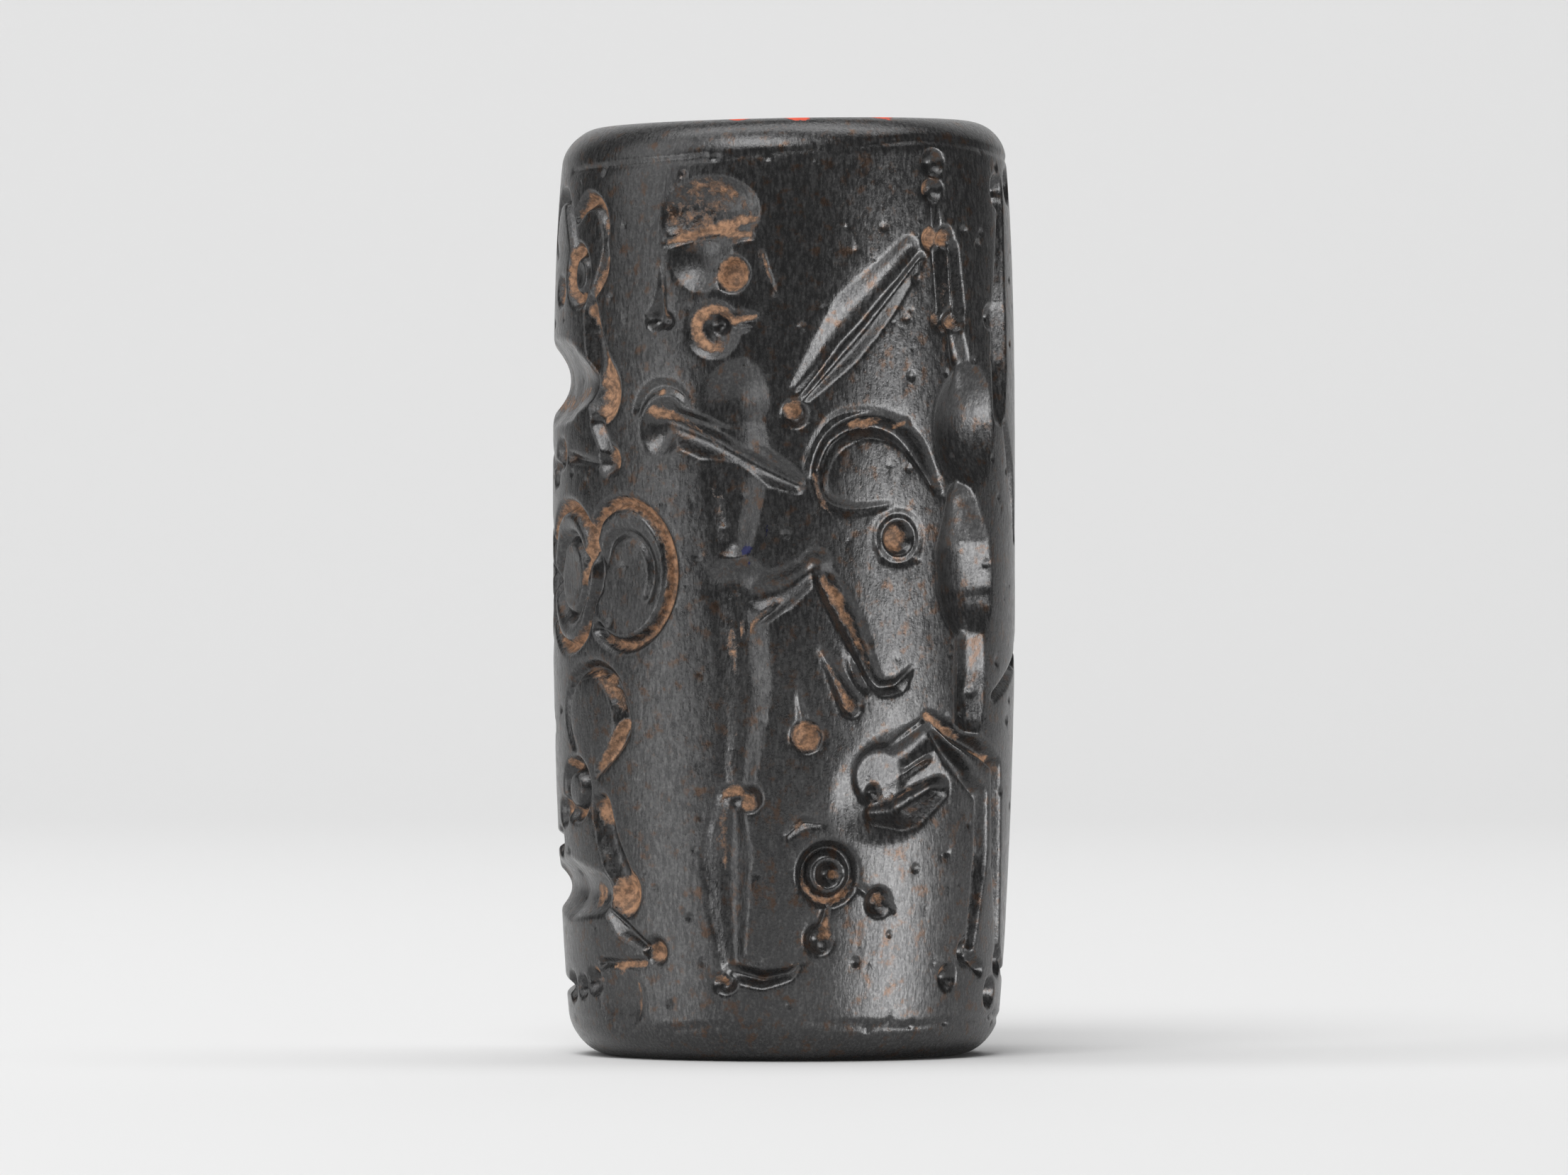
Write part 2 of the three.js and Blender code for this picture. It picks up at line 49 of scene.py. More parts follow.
HEIGHT = 25.0
RADIUS = 6.2
GIRTH = 2 * math.pi * RADIUS
BORE_RADIUS = 1.35
BORE_FLARE = 0.25
TOP_ROUND = 1.1
BASE_ROUND = 1.25
TOP_NARROWING = 0.34
BASE_NARROWING = 0.5
TOP_SLOPE = 0.0186
SLOPE_START = 21.0
FACETS_AROUND = 960
WALL_STEP = 0.042
FACE_STEPS = 30
FINISHED_TRIANGLES = 196_000


def drum_radius(up):
    """The drum's radius: it swells at the middle, and tapers more to its foot than to its top."""
    off = (up - HEIGHT / 2) / (HEIGHT / 2)
    return RADIUS - (TOP_NARROWING * off ** 4 if off > 0 else BASE_NARROWING * off ** 2)


def rim(up_middle, size, start_turn, end_turn, steps):
    """Points round a worn rim, as (out, up)."""
    centre = drum_radius(up_middle) - size
    turns = np.linspace(start_turn, end_turn, steps)
    return [(centre + size * math.cos(turn), up_middle + size * math.sin(turn)) for turn in turns]


def drum_outline():
    """The outline of one side of the drum, from the bore's foot round to its mouth."""
    quarter = math.pi / 2
    foot = [(BORE_RADIUS, up) for up in (HEIGHT / 2, 6.0, BORE_FLARE)]
    mouth_radius = BORE_RADIUS + BORE_FLARE
    base_end = drum_radius(BASE_ROUND) - BASE_ROUND
    top_end = drum_radius(HEIGHT - TOP_ROUND) - TOP_ROUND
    base = [(out, 0.0) for out in np.linspace(mouth_radius, base_end, FACE_STEPS)]
    base_rim = rim(BASE_ROUND, BASE_ROUND, -quarter, 0, int(BASE_ROUND * 1.57 / WALL_STEP))
    wall_steps = int((HEIGHT - BASE_ROUND - TOP_ROUND) / WALL_STEP)
    wall = [(drum_radius(up), up) for up in np.linspace(BASE_ROUND, HEIGHT - TOP_ROUND, wall_steps)]
    top_rim = rim(HEIGHT - TOP_ROUND, TOP_ROUND, 0, quarter, int(TOP_ROUND * 1.57 / WALL_STEP))
    top = [(out, HEIGHT) for out in np.linspace(top_end, mouth_radius, FACE_STEPS)]
    mouth = [(BORE_RADIUS, up) for up in (HEIGHT - BORE_FLARE, 19.0, HEIGHT / 2)]
    return foot + base + base_rim[1:] + wall[1:] + top_rim[1:] + top[1:] + mouth


def lathe_tree(finish):
    """A tree that turns the outline in its geometry into a closed drum."""
    tree = bpy.data.node_groups.new("turned_drum", "GeometryNodeTree")
    sockets = tree.interface
    sockets.new_socket("Outline", in_out="INPUT", socket_type="NodeSocketGeometry")
    sockets.new_socket("Facets around", in_out="INPUT", socket_type="NodeSocketInt")
    sockets.new_socket("Outline points", in_out="INPUT", socket_type="NodeSocketInt")
    sockets.new_socket("Drum", in_out="OUTPUT", socket_type="NodeSocketGeometry")
    nodes = tree.nodes

    def node(kind, **settings):
        made = nodes.new(kind)
        for name, value in settings.items():
            setattr(made, name, value)
        return made

    def math_node(operation, first, second):
        made = node("ShaderNodeMath", operation=operation)
        for socket, value in zip(made.inputs, (first, second)):
            if isinstance(value, bpy.types.NodeSocket):
                tree.links.new(value, socket)
            else:
                socket.default_value = value
        return made.outputs[0]

    given = node("NodeGroupInput").outputs
    around = math_node("ADD", given["Facets around"], 1)
    sheet = node("GeometryNodeMeshGrid")
    sheet.inputs["Size X"].default_value = 1
    sheet.inputs["Size Y"].default_value = 1
    tree.links.new(around, sheet.inputs["Vertices X"])
    tree.links.new(given["Outline points"], sheet.inputs["Vertices Y"])
    place = node("ShaderNodeSeparateXYZ")
    tree.links.new(node("GeometryNodeInputPosition").outputs[0], place.inputs[0])
    turn = math_node("MULTIPLY", math_node("ADD", place.outputs["X"], 0.5), 2 * math.pi)
    last = math_node("SUBTRACT", given["Outline points"], 1)
    row = math_node("MULTIPLY", math_node("ADD", place.outputs["Y"], 0.5), last)
    nearest = node("ShaderNodeMath", operation="ROUND")
    tree.links.new(row, nearest.inputs[0])
    outline = node("GeometryNodeSampleIndex", data_type="FLOAT_VECTOR", domain="POINT", clamp=True)
    tree.links.new(given["Outline"], outline.inputs["Geometry"])
    tree.links.new(node("GeometryNodeInputPosition").outputs[0], outline.inputs["Value"])
    tree.links.new(nearest.outputs[0], outline.inputs["Index"])
    profile = node("ShaderNodeSeparateXYZ")
    tree.links.new(outline.outputs[0], profile.inputs[0])
    swept = node("ShaderNodeCombineXYZ")
    across = math_node("MULTIPLY", profile.outputs["X"], math_node("SINE", turn, 0))
    along = math_node("MULTIPLY", profile.outputs["X"], math_node("COSINE", turn, 0))
    tree.links.new(across, swept.inputs["X"])
    tree.links.new(math_node("MULTIPLY", along, -1), swept.inputs["Y"])
    tree.links.new(profile.outputs["Z"], swept.inputs["Z"])
    roll = node("GeometryNodeSetPosition")
    tree.links.new(sheet.outputs["Mesh"], roll.inputs["Geometry"])
    tree.links.new(swept.outputs[0], roll.inputs["Position"])
    close = node("GeometryNodeMergeByDistance")
    close.inputs["Distance"].default_value = 1e-7
    tree.links.new(roll.outputs[0], close.inputs["Geometry"])
    realize = node("GeometryNodeRealizeInstances")
    tree.links.new(close.outputs[0], realize.inputs[0])
    dress = node("GeometryNodeSetMaterial")
    dress.inputs["Material"].default_value = finish
    tree.links.new(realize.outputs[0], dress.inputs["Geometry"])
    tree.links.new(dress.outputs[0], node("NodeGroupOutput").inputs["Drum"])
    return tree


def turned_drum(finish):
    """The uncarved drum, as a plain mesh in metres."""
    outline = drum_outline()
    line = bpy.data.meshes.new("outline")
    line.from_pydata([(out * MM, 0, up * MM) for out, up in outline], [], [])
    turned = bpy.data.objects.new("outline", line)
    bpy.context.scene.collection.objects.link(turned)
    tree = lathe_tree(finish)
    lathe = turned.modifiers.new("lathe", "NODES")
    lathe.node_group = tree
    sizes = {"Facets around": FACETS_AROUND, "Outline points": len(outline)}
    for socket in tree.interface.items_tree:
        if socket.name in sizes:
            lathe[socket.identifier] = sizes[socket.name]
    mesh = bpy.data.meshes.new_from_object(turned.evaluated_get(bpy.context.evaluated_depsgraph_get()))
    bpy.data.objects.remove(turned)
    mesh.name = "seal_stone"
    return mesh


# ==== The carver's tools ====
# A solid drill leaves round bowls, a tube drill leaves rings, and a cutting wheel or graver leaves
# grooves. They all sink one map of the wall, whose cells run round the girth and up the drum.
# A place is (along, up) in mm. along is 0 at the front, and grows to the right.

CELLS = 26
COLUMNS = round(GIRTH * CELLS)
ROWS = round(HEIGHT * CELLS) + 1
WORN_EDGE = 0.055
cut_map = np.zeros((ROWS, COLUMNS))
earth_map = np.zeros((ROWS, COLUMNS))
worked_map = cut_map


def window(low, high):
    """The map's columns and rows that hold a box, and their places along and up."""
    sides = ((low[0], -2), (high[0], 2))
    first, last = (int((side + GIRTH / 2) / GIRTH * COLUMNS + shift) for side, shift in sides)
    bottom, top = (int(side * CELLS + shift) for side, shift in ((low[1], -1), (high[1], 2)))
    columns = np.arange(first, last)
    rows = np.arange(max(bottom, 0), min(top, ROWS))
    along = columns * GIRTH / COLUMNS - GIRTH / 2
    return np.ix_(rows, columns % COLUMNS), along[None, :], rows[:, None] / CELLS


def sink(cells, deep):
    worked_map[cells] = np.maximum(worked_map[cells], deep)


def pair(size):
    """Half length and half width from a pair, or from one radius."""
    return tuple(size) if hasattr(size, "__len__") else (size, size)


def oval_window(centre, reach):
    return window((centre[0] - reach, centre[1] - reach), (centre[0] + reach, centre[1] + reach))


def hollow(centre, size, deep, tilt=0, softness=0.8):
    """A bowl, its length turned by tilt degrees. A softness above 1 eases it into the wall."""
    long, wide = pair(size)
    cells, along, up = oval_window(centre, max(long, wide))
    lean = math.radians(tilt)
    x, y = along - centre[0], up - centre[1]
    length = (x * math.cos(lean) + y * math.sin(lean)) / long
    width = (y * math.cos(lean) - x * math.sin(lean)) / wide
    sink(cells, deep * np.clip(1 - length ** 2 - width ** 2, 0, 1) ** softness)


def disc(centre, radius, deep):
    """A flat-bottomed drill hole."""
    cells, along, up = oval_window(centre, radius)
    edge = min(0.3, radius * 0.45)
    inside = np.clip((radius - np.hypot(along - centre[0], up - centre[1])) / edge, 0, 1)
    sink(cells, deep * inside ** 1.5 * (2.5 - 1.5 * inside))


def ring(centre, size, width, deep):
    """A tube-drilled ring: size is to the middle of its groove."""
    wide, tall = pair(size)
    cells, along, up = oval_window(centre, max(wide, tall) + width)
    off = (np.hypot((along - centre[0]) / wide, (up - centre[1]) / tall) - 1) * (wide + tall) / 2
    sink(cells, deep * np.clip(1 - (2 * off / width) ** 2, 0, 1) ** 0.7)


def groove(points, widths, depths, softness=0.9):
    """A groove through points. Whole widths and depths are one value, or lists from start to end."""
    route = np.array(points, dtype=float)
    widths, depths = np.atleast_1d(widths) / 2, np.atleast_1d(depths)
    run = np.concatenate([[0], np.cumsum(np.hypot(*np.diff(route, axis=0).T))])
    reach = max(widths)
    cells, along, up = window(route.min(axis=0) - reach, route.max(axis=0) + reach)
    deepest = np.zeros(np.broadcast(along, up).shape)
    for start, end, done, ahead in zip(route, route[1:], run, run[1:]):
        step = end - start
        share = ((along - start[0]) * step[0] + (up - start[1]) * step[1]) / max(step @ step, 1e-9)
        share = np.clip(share, 0, 1)
        off = np.hypot(along - start[0] - share * step[0], up - start[1] - share * step[1])
        place = (done + share * (ahead - done)) / run[-1]
        half = np.interp(place, np.linspace(0, 1, len(widths)), widths)
        deep = np.interp(place, np.linspace(0, 1, len(depths)), depths)
        deepest = np.maximum(deepest, deep * np.clip(1 - (off / half) ** 2, 0, 1) ** softness)
    sink(cells, deepest)


def arc(centre, size, start, end):
    """Points on a round or oval arc, in degrees anticlockwise from the right."""
    wide, tall = pair(size)
    turns = np.radians(np.linspace(start, end, max(4, round(abs(end - start) / 8))))
    return [(centre[0] + wide * math.cos(turn), centre[1] + tall * math.sin(turn)) for turn in turns]


def flowing(points, steps=8):
    """A smooth curve through a few points."""
    knots = np.array([points[0], *points, points[-1]], dtype=float)
    curve = []
    for before, start, end, after in zip(knots, knots[1:], knots[2:], knots[3:]):
        for share in np.linspace(0, 1, steps, endpoint=False):
            curve.append(start + 0.5 * share * (end - before + share * (
                2 * before - 5 * start + 4 * end - after + share * (3 * (start - end) + after - before))))
    return [*curve, knots[-1]]


def balls(places, deep=0.38):
    """A small drilled bowl at each (along, up, radius)."""
    for along, up, radius in places:
        hollow((along, up), radius, deep)


# ==== Border lines ====
# One fine line was scratched round each end with a graver before the scene was cut. The lines
# waver, fade out on the worn parts, and are doubled where the graver slipped.

def border_lines():
    groove([(-7.6, 23.7), (-5.2, 23.78), (-3, 23.87), (-2.2, 23.98)], [.1, .2, .16], .07)
    groove([(-2.9, 23.8), (-1, 24), (1.6, 24.13)], [.1, .13, .08], .045)
    groove([(1.7, 24.18), (4, 24.36), (5.8, 24.28), (9.2, 23.97)], [.1, .22, .2, .14], .08)
    groove([(8.8, 23.97), (12, 23.84), (15, 23.65), (20, 23.6), (24.6, 23.75)], [.12, .2, .2, .1], .07)
    groove([(-3.8, .84), (-2.2, .86)], [.06, .14, .08], .05)
    groove([(-3.1, .97), (-.2, .93)], [.06, .14, .06], .05)
    groove([(-1.7, .84), (-.4, .85)], [.06, .12, .06], .045)
    groove([(.4, 1.08), (3.4, 1)], [.06, .15, .08], .06)
    foot_line = [(1.2, .92), (3.4, .9), (8, 1.1), (10, .96), (13, .85), (17, .97), (27.8, .92)]
    groove(foot_line, [.08, .2, .2, .2, .1], .07)
    groove([(-8.2, 1), (-5.9, .97)], [.1, .15, .1], .06)


# ==== The spear bearer ====
# The hero at the front strides to the right with one leg raised, in a round brimmed cap. His eye
# and chin are drill holes, and his body is cut with a wheel.

def spearman():
    shoulder, waist = (-1.3, 17.3), (-1.35, 13.75)
    elbow, hand = (-3.4, 16.85), (.35, 15.2)
    hip, knee, ankle = (-1.25, 12.55), (-1.25, 6.98), (-1.45, 2.5)
    raised_knee, raised_foot = (.87, 13.05), (2.45, 10.05)
    cap()
    hollow((-2.3, 21.2), (.95, .95), .34, 0, 1.2)
    disc((-1.4, 20.74), .48, .42)
    hollow((-1.92, 19.27), .76, .28, 0, .8)
    hollow((-1.75, 19.4), .35, .5)
    groove([(-1.4, 19.56), (-.72, 19.64)], [.3, .1], [.26, .1])
    groove([(-1.3, 19.28), (-.9, 19.33)], [.22, .08], [.22, .08])
    groove([(-3.45, 20.9), (-3.42, 20.4), (-3.5, 19.7)], [.08, .16, .4], [.05, .12, .3])
    groove([(-.6, 21.3), (-.48, 20.8), (-.25, 20.2)], [.1, .22, .1], .12)
    balls([(-3.6, 19.55, .3), (-3.3, 19.52, .24), (.3, 17.05, .36)], .34)
    hollow(shoulder, (1.25, 1), .34, 80, 1.5)
    groove([shoulder, (-1.25, 15.6), waist], [1.7, 2, 1.1], [.26, .34, .3], 1.5)
    hollow((-3.38, 16.75), (.85, .7), .4, 80, 1.3)
    groove([elbow, (-1.9, 16.3), (-.75, 15.7), hand], [.9, 1, .9, .5], [.42, .48, .42, .2], 1.2)
    groove([(-3, 17.1), (-1.4, 16.6), (.3, 15.5)], [.2, .3, .14], [.3, .3, .1])
    groove(arc((-3.35, 16.95), (.85, .85), 170, 40), [.2, .5, .26], .14, 1.4)
    groove([(.3, 17.75), (1.95, 19.8), (3.55, 21.45)], [.3, 1.35, .7], [.1, .17, .12], 1.4)
    groove([(.55, 17.45), (2.35, 19.35), (3.95, 21.2)], [.2, .62, .5, .24], [.16, .34, .3, .14])
    hollow(hip, (.85, .8), .34, 0, 1.3)
    groove([(-1.1, 12.2), (-.1, 12.4), raised_knee], [1.4, 1.1, .62], [.3, .34, .28], 1.3)
    groove([(-1.35, 11.1), (-.5, 11.75), (.5, 12.5)], [.2, .34, .26], [.1, .28, .2])
    groove([(-1.15, 12), (-1, 9.8), knee], [1.5, 1.5, .9], [.3, .24, .22], 1.6)
    groove([(-1.48, 11.5), (-1.38, 10.6)], [.1, .2, .08], .1)
    groove([(-1.38, 9.3), (-1.3, 8)], [.1, .2, .1], .1)
    hollow(knee, (.56, .42), .4)
    hollow((-.95, 6.95), .36, .42)
    groove([(-1.45, 6.9), (-1.6, 5.3), (-1.55, 3.9), ankle], [.7, 1.5, 1.15, .7], [.3, .36, .3, .22], 1.3)
    groove([(-1.65, 7.15), (-1.85, 6.4), (-2.2, 5.3)], [.14, .3, .12], [.14, .2, .08])
    groove([(-1.5, 2.42), (-.6, 2.2), (.15, 2.35), (.55, 2.72)], [.5, .46, .36, .12], [.34, .36, .28, .08])
    hollow((-1.65, 2.1), (.36, .3), .32, 0, 1)
    groove([(-1.7, 2.62), (-.7, 2.66)], [.16, .24, .12], .12)
    hollow(raised_knee, .46, .34, 0, 1.1)
    groove([raised_knee, (1.75, 11.5), raised_foot], [.6, .7, .4], [.32, .4, .26], 1.1)
    groove([(1.55, 12.5), (2, 11.7), (2.35, 11)], [.1, .16, .08], .1)
    groove([raised_foot, (2.7, 9.85), (3.2, 9.92), (3.62, 10.42)], [.36, .4, .34, .1], [.26, .3, .24, .06])
    groove([(.95, 10.9), (1.4, 10.1), (1.8, 9.4)], [.1, .4, .62], [.06, .22, .36], 1)
    groove([(1.65, 10.9), (1.95, 10.1), (2.2, 9.8)], [.1, .3, .2], [.04, .16, .12], 1.2)
    groove([(.35, 10), (.5, 8.95)], [.06, .24], [.04, .2])
    disc((.6, 8.58), .45, .32)
    hollow((.64, 8.6), .18, .42)


def cap():
    """His cap: a dome with a turned-up brim."""
    hollow((-2.05, 22.4), (1.42, 1), .44, 4, .9)
    groove([(-3.35, 21.55), (-2.5, 21.82), (-1.6, 22), (-.68, 22.28)],
           [.16, .34, .34, .12], [.1, .46, .46, .1])
    groove([(-1.75, 21.82), (-.85, 21.76)], [.1, .22, .1], .16)


# ==== The drilled star in front ====
# A ring cut with a tube drill round a small pit, with two drilled balls hung from it.

def star_in_front():
    star = (1.2, 4.97)
    ring(star, .69, .34, .32)
    hollow(star, .34, .4)
    balls([(.97, 3.27, .43), (2.67, 4.22, .4)])
    groove([(1, 3.4), (1.22, 4.15)], [.3, .16], .22)
    groove([(2.35, 4.45), (1.95, 4.68)], .18, .12)
    groove([(.05, 5.95), (.5, 6.35), (1.05, 6.28)], [.08, .26, .08], .16)


# ==== The lion held head down ====
# It hangs between the two heroes: drilled toes at the top, a pear-shaped haunch, a long trunk,
# the open jaws low on the left, and the forelegs below.

def held_lion():
    haunch = (5.6, 16.75)
    balls([(4.48, 23.72, .4), (4.4, 23.02, .37), (4.33, 21.72, .35), (4.83, 21.75, .29)], .34)
    groove([(4.4, 22.75), (4.45, 21.95)], [.22, .36], .18)
    groove([(4.6, 21.4), (4.72, 19.8)], [.5, .5], .36)
    groove([(5.12, 21.5), (5.3, 19.85)], [.3, .42], .3)
    balls([(4.6, 19.58, .34), (5.12, 19.52, .38)], .4)
    groove([(5.12, 19.3), (5.3, 18.55)], [.6, .8], .26, 1.3)
    groove([(5.48, 18.15), (5.55, 17.4), haunch], [.8, 1.6, 2.4], [.32, .46, .5], 1.1)
    hollow(haunch, (1.7, 1.32), .54, 84, 1.1)
    groove([(5.35, 14.8), (5.55, 13.3), (5.65, 12.2), (5.7, 11.2)],
           [1.2, 2.4, 2.5, 1.2], [.34, .56, .54, .3], 1.2)
    groove([(5.7, 11.6), (5.75, 10.2), (5.72, 9.1)], [1.2, 1.5, 1.3], [.3, .34, .3], 1.3)
    groove([(5.74, 11.2), (5.78, 10.2), (5.72, 9.2)], [.3, .44, .36], .56)
    tail = [(4.45, 15.05), (3.5, 16.35), (2.35, 16.75), (1.35, 16.35),
            (.95, 15.5), (1.1, 14.8), (1.8, 14.55), (2.9, 14.68)]
    groove(flowing(tail), [.2, .6, .62, .56, .44, .3, .14], [.2, .42, .42, .36, .26, .16, .06], 1)
    tail_rim = [(3.35, 16.9), (2.3, 17.15), (1.25, 16.9), (.62, 15.9), (.68, 15.3)]
    groove(flowing(tail_rim), [.1, .2, .1], .08, 1.3)
    hollow((3.35, 16.8), .16, .2)
    disc((3.16, 13.8), .46, .34)
    hollow((3.14, 13.78), .18, .4)
    ring((3.16, 13.8), .66, .2, .07)
    lion_head()
    groove([(4.1, 9.1), (5, 8.05), (6.25, 7.1)], [.3, .56, .46], [.22, .44, .4])
    groove([(4.45, 8.65), (5.1, 8.15), (5.9, 7.6)], [.1, .2, .1], .5)
    groove([(6.42, 7), (6.5, 5.4), (6.15, 3.05)], [.62, .7, .4], [.36, .36, .22], 1.1)
    groove([(4.2, 9.15), (5.3, 8.55), (6.4, 8.2), (7.1, 7.9)], [.2, .46, .5, .4], [.2, .44, .44, .36])
    groove([(7.3, 7.7), (7.6, 5.2), (8.1, 2.95)], [.62, .66, .4], [.4, .42, .26])
    balls([(5.9, 2.85, .34), (5.15, 2.2, .36), (8.18, 2.55, .42), (7.6, 1.72, .42)], .34)
    groove([(6, 2.75), (6.75, 2.35)], [.4, .34], .2)


def lion_head():
    """The lion's open jaws and its short neck, in one wide soft bowl."""
    hollow((3.15, 7.3), (2.05, 1.5), .3, 28, 1.4)
    disc((2.8, 7.5), .98, .4)
    groove([(2.9, 7.75), (3.6, 8.1), (4.4, 8.75)], [1.3, 1.25, .9], [.4, .4, .25], 1.1)
    groove([(2.55, 6.55), (3.4, 6.6), (4.6, 7.2)], [.7, 1.15, .7], [.5, .72, .5], 1)
    hollow((2.62, 7.1), (.34, .3), .66)
    groove([(3.1, 7.3), (4.3, 7.98)], [.14, .2, .1], .46)
    groove([(3, 8.35), (4.1, 9.05)], [.12, .24, .12], .3)


# ==== The lifted hind leg and the crossed blades ====
# The lion's second hind leg runs up beside the first. Below it two lens-shaped strokes meet in a V.

def lifted_leg():
    balls([(7.62, 23.05, .46), (8.88, 23.22, .5), (6.78, 19.68, .3)])
    groove([(7.85, 22.75), (7.62, 21.4), (7.48, 20)], [.4, .62, .9], .36)
    groove([(7.45, 19.9), (7.42, 18.4), (7.35, 17.2)], [1, 1.08, .8], [.42, .4, .15])


def crossed_blades():
    groove([(7.8, 16.85), (8.5, 15.5), (9.08, 13.8)], [.2, .56, .5, .25], [.2, .42, .42, .25])
    hollow((11, 16.3), .46, .42)
    groove([(10.95, 16.15), (9.6, 14.05)], [.82, .66, .3], [.4, .34, .2])


# ==== The second hero ====
# He faces the lion with a sword arm drawn down, a belted waist, a drilled belly and bent knees.

def swordsman():
    shoulder, waist, belly = (13.05, 16.4), (12.95, 13.6), (13.15, 10.18)
    elbow, wrist = (15.2, 16.1), (12.2, 14)
    left_knee, right_knee = (11.2, 5.9), (13.95, 6.02)
    left_heel, right_heel = (10.55, 2.25), (15.3, 2.38)
    hollow((13.4, 22.4), (1.32, 1.08), .58)
    hollow((12.75, 21.95), (1.05, .72), .46, 25)
    groove([(11.72, 22.3), (12.7, 22.2)], [.1, .6], [.08, .4])
    groove([(12.9, 21.38), (14.6, 21.25)], [.3, .2], .38)
    groove([(11.85, 21.5), (11.75, 20.6), (11.5, 19.9)], [.1, .24, .12], .18)
    groove([(11.12, 19.58), (11.9, 19.86)], [.08, .16], .12)
    disc((12.82, 20.28), .55, .46)
    hollow((12.95, 20.2), .2, .55)
    groove([(14.38, 20.6), (14.28, 18.9)], [.22, .32], .3)
    hollow((14.45, 18.62), .36, .35)
    hollow((12.95, 18.74), (.82, .64), .48)
    groove([(12, 19.27), (13.6, 19.2)], [.16, .38], [.2, .4])
    groove([(13.3, 18.2), (14.3, 18.12)], [.4, .3], .34)
    groove([(13.2, 18.3), (13.2, 16.9)], [.66, .78], .35)
    hollow(shoulder, (1.12, 1.15), .56)
    groove([shoulder, waist, (13.38, 12.4)], [1.8, 1.1, 1.5], [.55, .42, .22])
    hollow(elbow, .42, .42)
    groove([elbow, (13.5, 15), wrist], [.7, .78, .62], [.45, .62, .52])
    groove([wrist, (10.35, 12.2)], [.56, .34], [.5, .18])
    hollow(belly, (1.27, 1.2), .68)
    balls([(10.87, 10.95, .46), (9.55, 10.74, .46)])
    groove([(10.3, 10.9), (9.95, 10.85)], .2, .15)
    groove([(9.1, 10.5), (7, 9.6)], [.42, .36, .18], .3)
    hollow((11.35, 11.88), (.45, .3), .16)
    groove([(11.25, 8.95), (11.75, 7.4)], [.3, .78, .85], [.25, .46, .4])
    groove([(11.7, 7.5), left_knee], [.6, .45], [.34, .3])
    groove([(13.6, 9.1), (14.15, 7.5)], [.6, 1], [.3, .46])
    groove([(14.1, 7.4), right_knee], [.8, .5], [.42, .35])
    hollow(left_knee, (.56, .48), .48)
    hollow(right_knee, .52, .5)
    groove([(11.3, 5), (11.1, 4.15), left_heel], [.95, .82, .44], [.46, .42, .35])
    groove([(14.4, 5.4), (14.65, 4.5), right_heel], [1.1, 1, .48], [.46, .46, .35])
    balls([(*left_heel, .43), (*right_heel, .43)], .42)
    groove(flowing([left_heel, (10.1, 2.38), (9.35, 2.13), (8.6, 2.6)]), [.42, .32, .12], [.4, .3, .12])
    groove(flowing([right_heel, (14.9, 2.4), (13.8, 1.95), (12.6, 2.15)]), [.42, .3, .12], [.4, .3, .12])


# ==== The griffin ====
# A winged beast lies above the guilloche with its tail curled over its back. Tube-drilled discs
# make its haunch, chest and head, and the wing is a fan of cut feathers.

def griffin():
    haunch, chest, head = (18.25, 17.05), (24.6, 18.08), (25.22, 21.05)
    disc(head, 1.03, .42)
    ring(head, .42, .15, .46)
    for root, tip, width in (((24.6, 21.95), (23.88, 22.6), .85), ((25, 22.1), (24.77, 22.95), .95),
                             ((25.8, 22), (26.1, 22.93), 1.05)):
        groove([root, tip], [.3, width], [.2, .32])
    groove([(26.1, 21.12), (26.78, 21.2)], [.44, .2], .25)
    groove([(26.88, 21.36), (27.2, 21.16), (27.52, 20.84)], [.16, .34, .2], .25)
    groove([(24.8, 20.2), (24.68, 18.9)], [.8, .9], .3)
    disc(chest, 1.02, .44)
    groove([(24.6, 17.4), (24.65, 16.1)], [.95, .62], .36)
    groove([(24.52, 15.95), (26.3, 15.9), (28.1, 15.36)], [.5, .5, .26], [.4, .4, .22])
    groove([(18.95, 17.72), (23.8, 17.72)], [1, 1.06], .5)
    groove([(19.5, 17.3), (21.6, 17.05), (23.4, 17.45)], [.5, 1.3, .6], [.3, .5, .3])
    groove([(20.15, 16.9), (20.95, 16.82)], .14, .55)
    disc(haunch, 1.03, .54)
    groove([(17.9, 16.3), (17, 15.7)], [.6, .26], .18)
    groove(flowing([(17.25, 15.28), (19.2, 15.52), (21.05, 15.24)]), [.32, .5, .26], .38)
    balls([(16.92, 15, .4), (21.5, 15, .42), (28.5, 15.02, .43)], .24)
    tail = [(18.6, 17.95), (16.9, 18.5), (15.7, 19.4), (15.45, 20.3), (16, 21), (17, 21.2), (17.95, 20.95)]
    groove(flowing(tail), [.5, .46, .46, .46, .3], [.4, .38, .38, .38, .2])
    disc((18.25, 19.94), .45, .4)


def wing():
    root, shoulder = (23.75, 19.15), (23.08, 18.5)
    groove([root, (21.15, 21.12), (18.32, 23.02)], [.3, .56, .12], [.3, .4, .1], 1)
    groove([shoulder, (20.6, 20.78), (18.32, 22.27)], [.3, .36, .1], [.3, .3, .1], 1)
    feathers = [((22.95, 19.2), (20, 19.65)), ((22.4, 18.7), (20.1, 18.9)), ((21, 20.05), (19.4, 20.36)),
                ((20.5, 20.9), (18.82, 21.42)), ((21.7, 19.88), (20.4, 20.08))]
    for start, end in feathers:
        groove([start, end], [.2, .2, .06], .16)


# ==== The upper goat ====
# It lies above the guilloche to the left of the spear bearer, with two horns curled over its head.

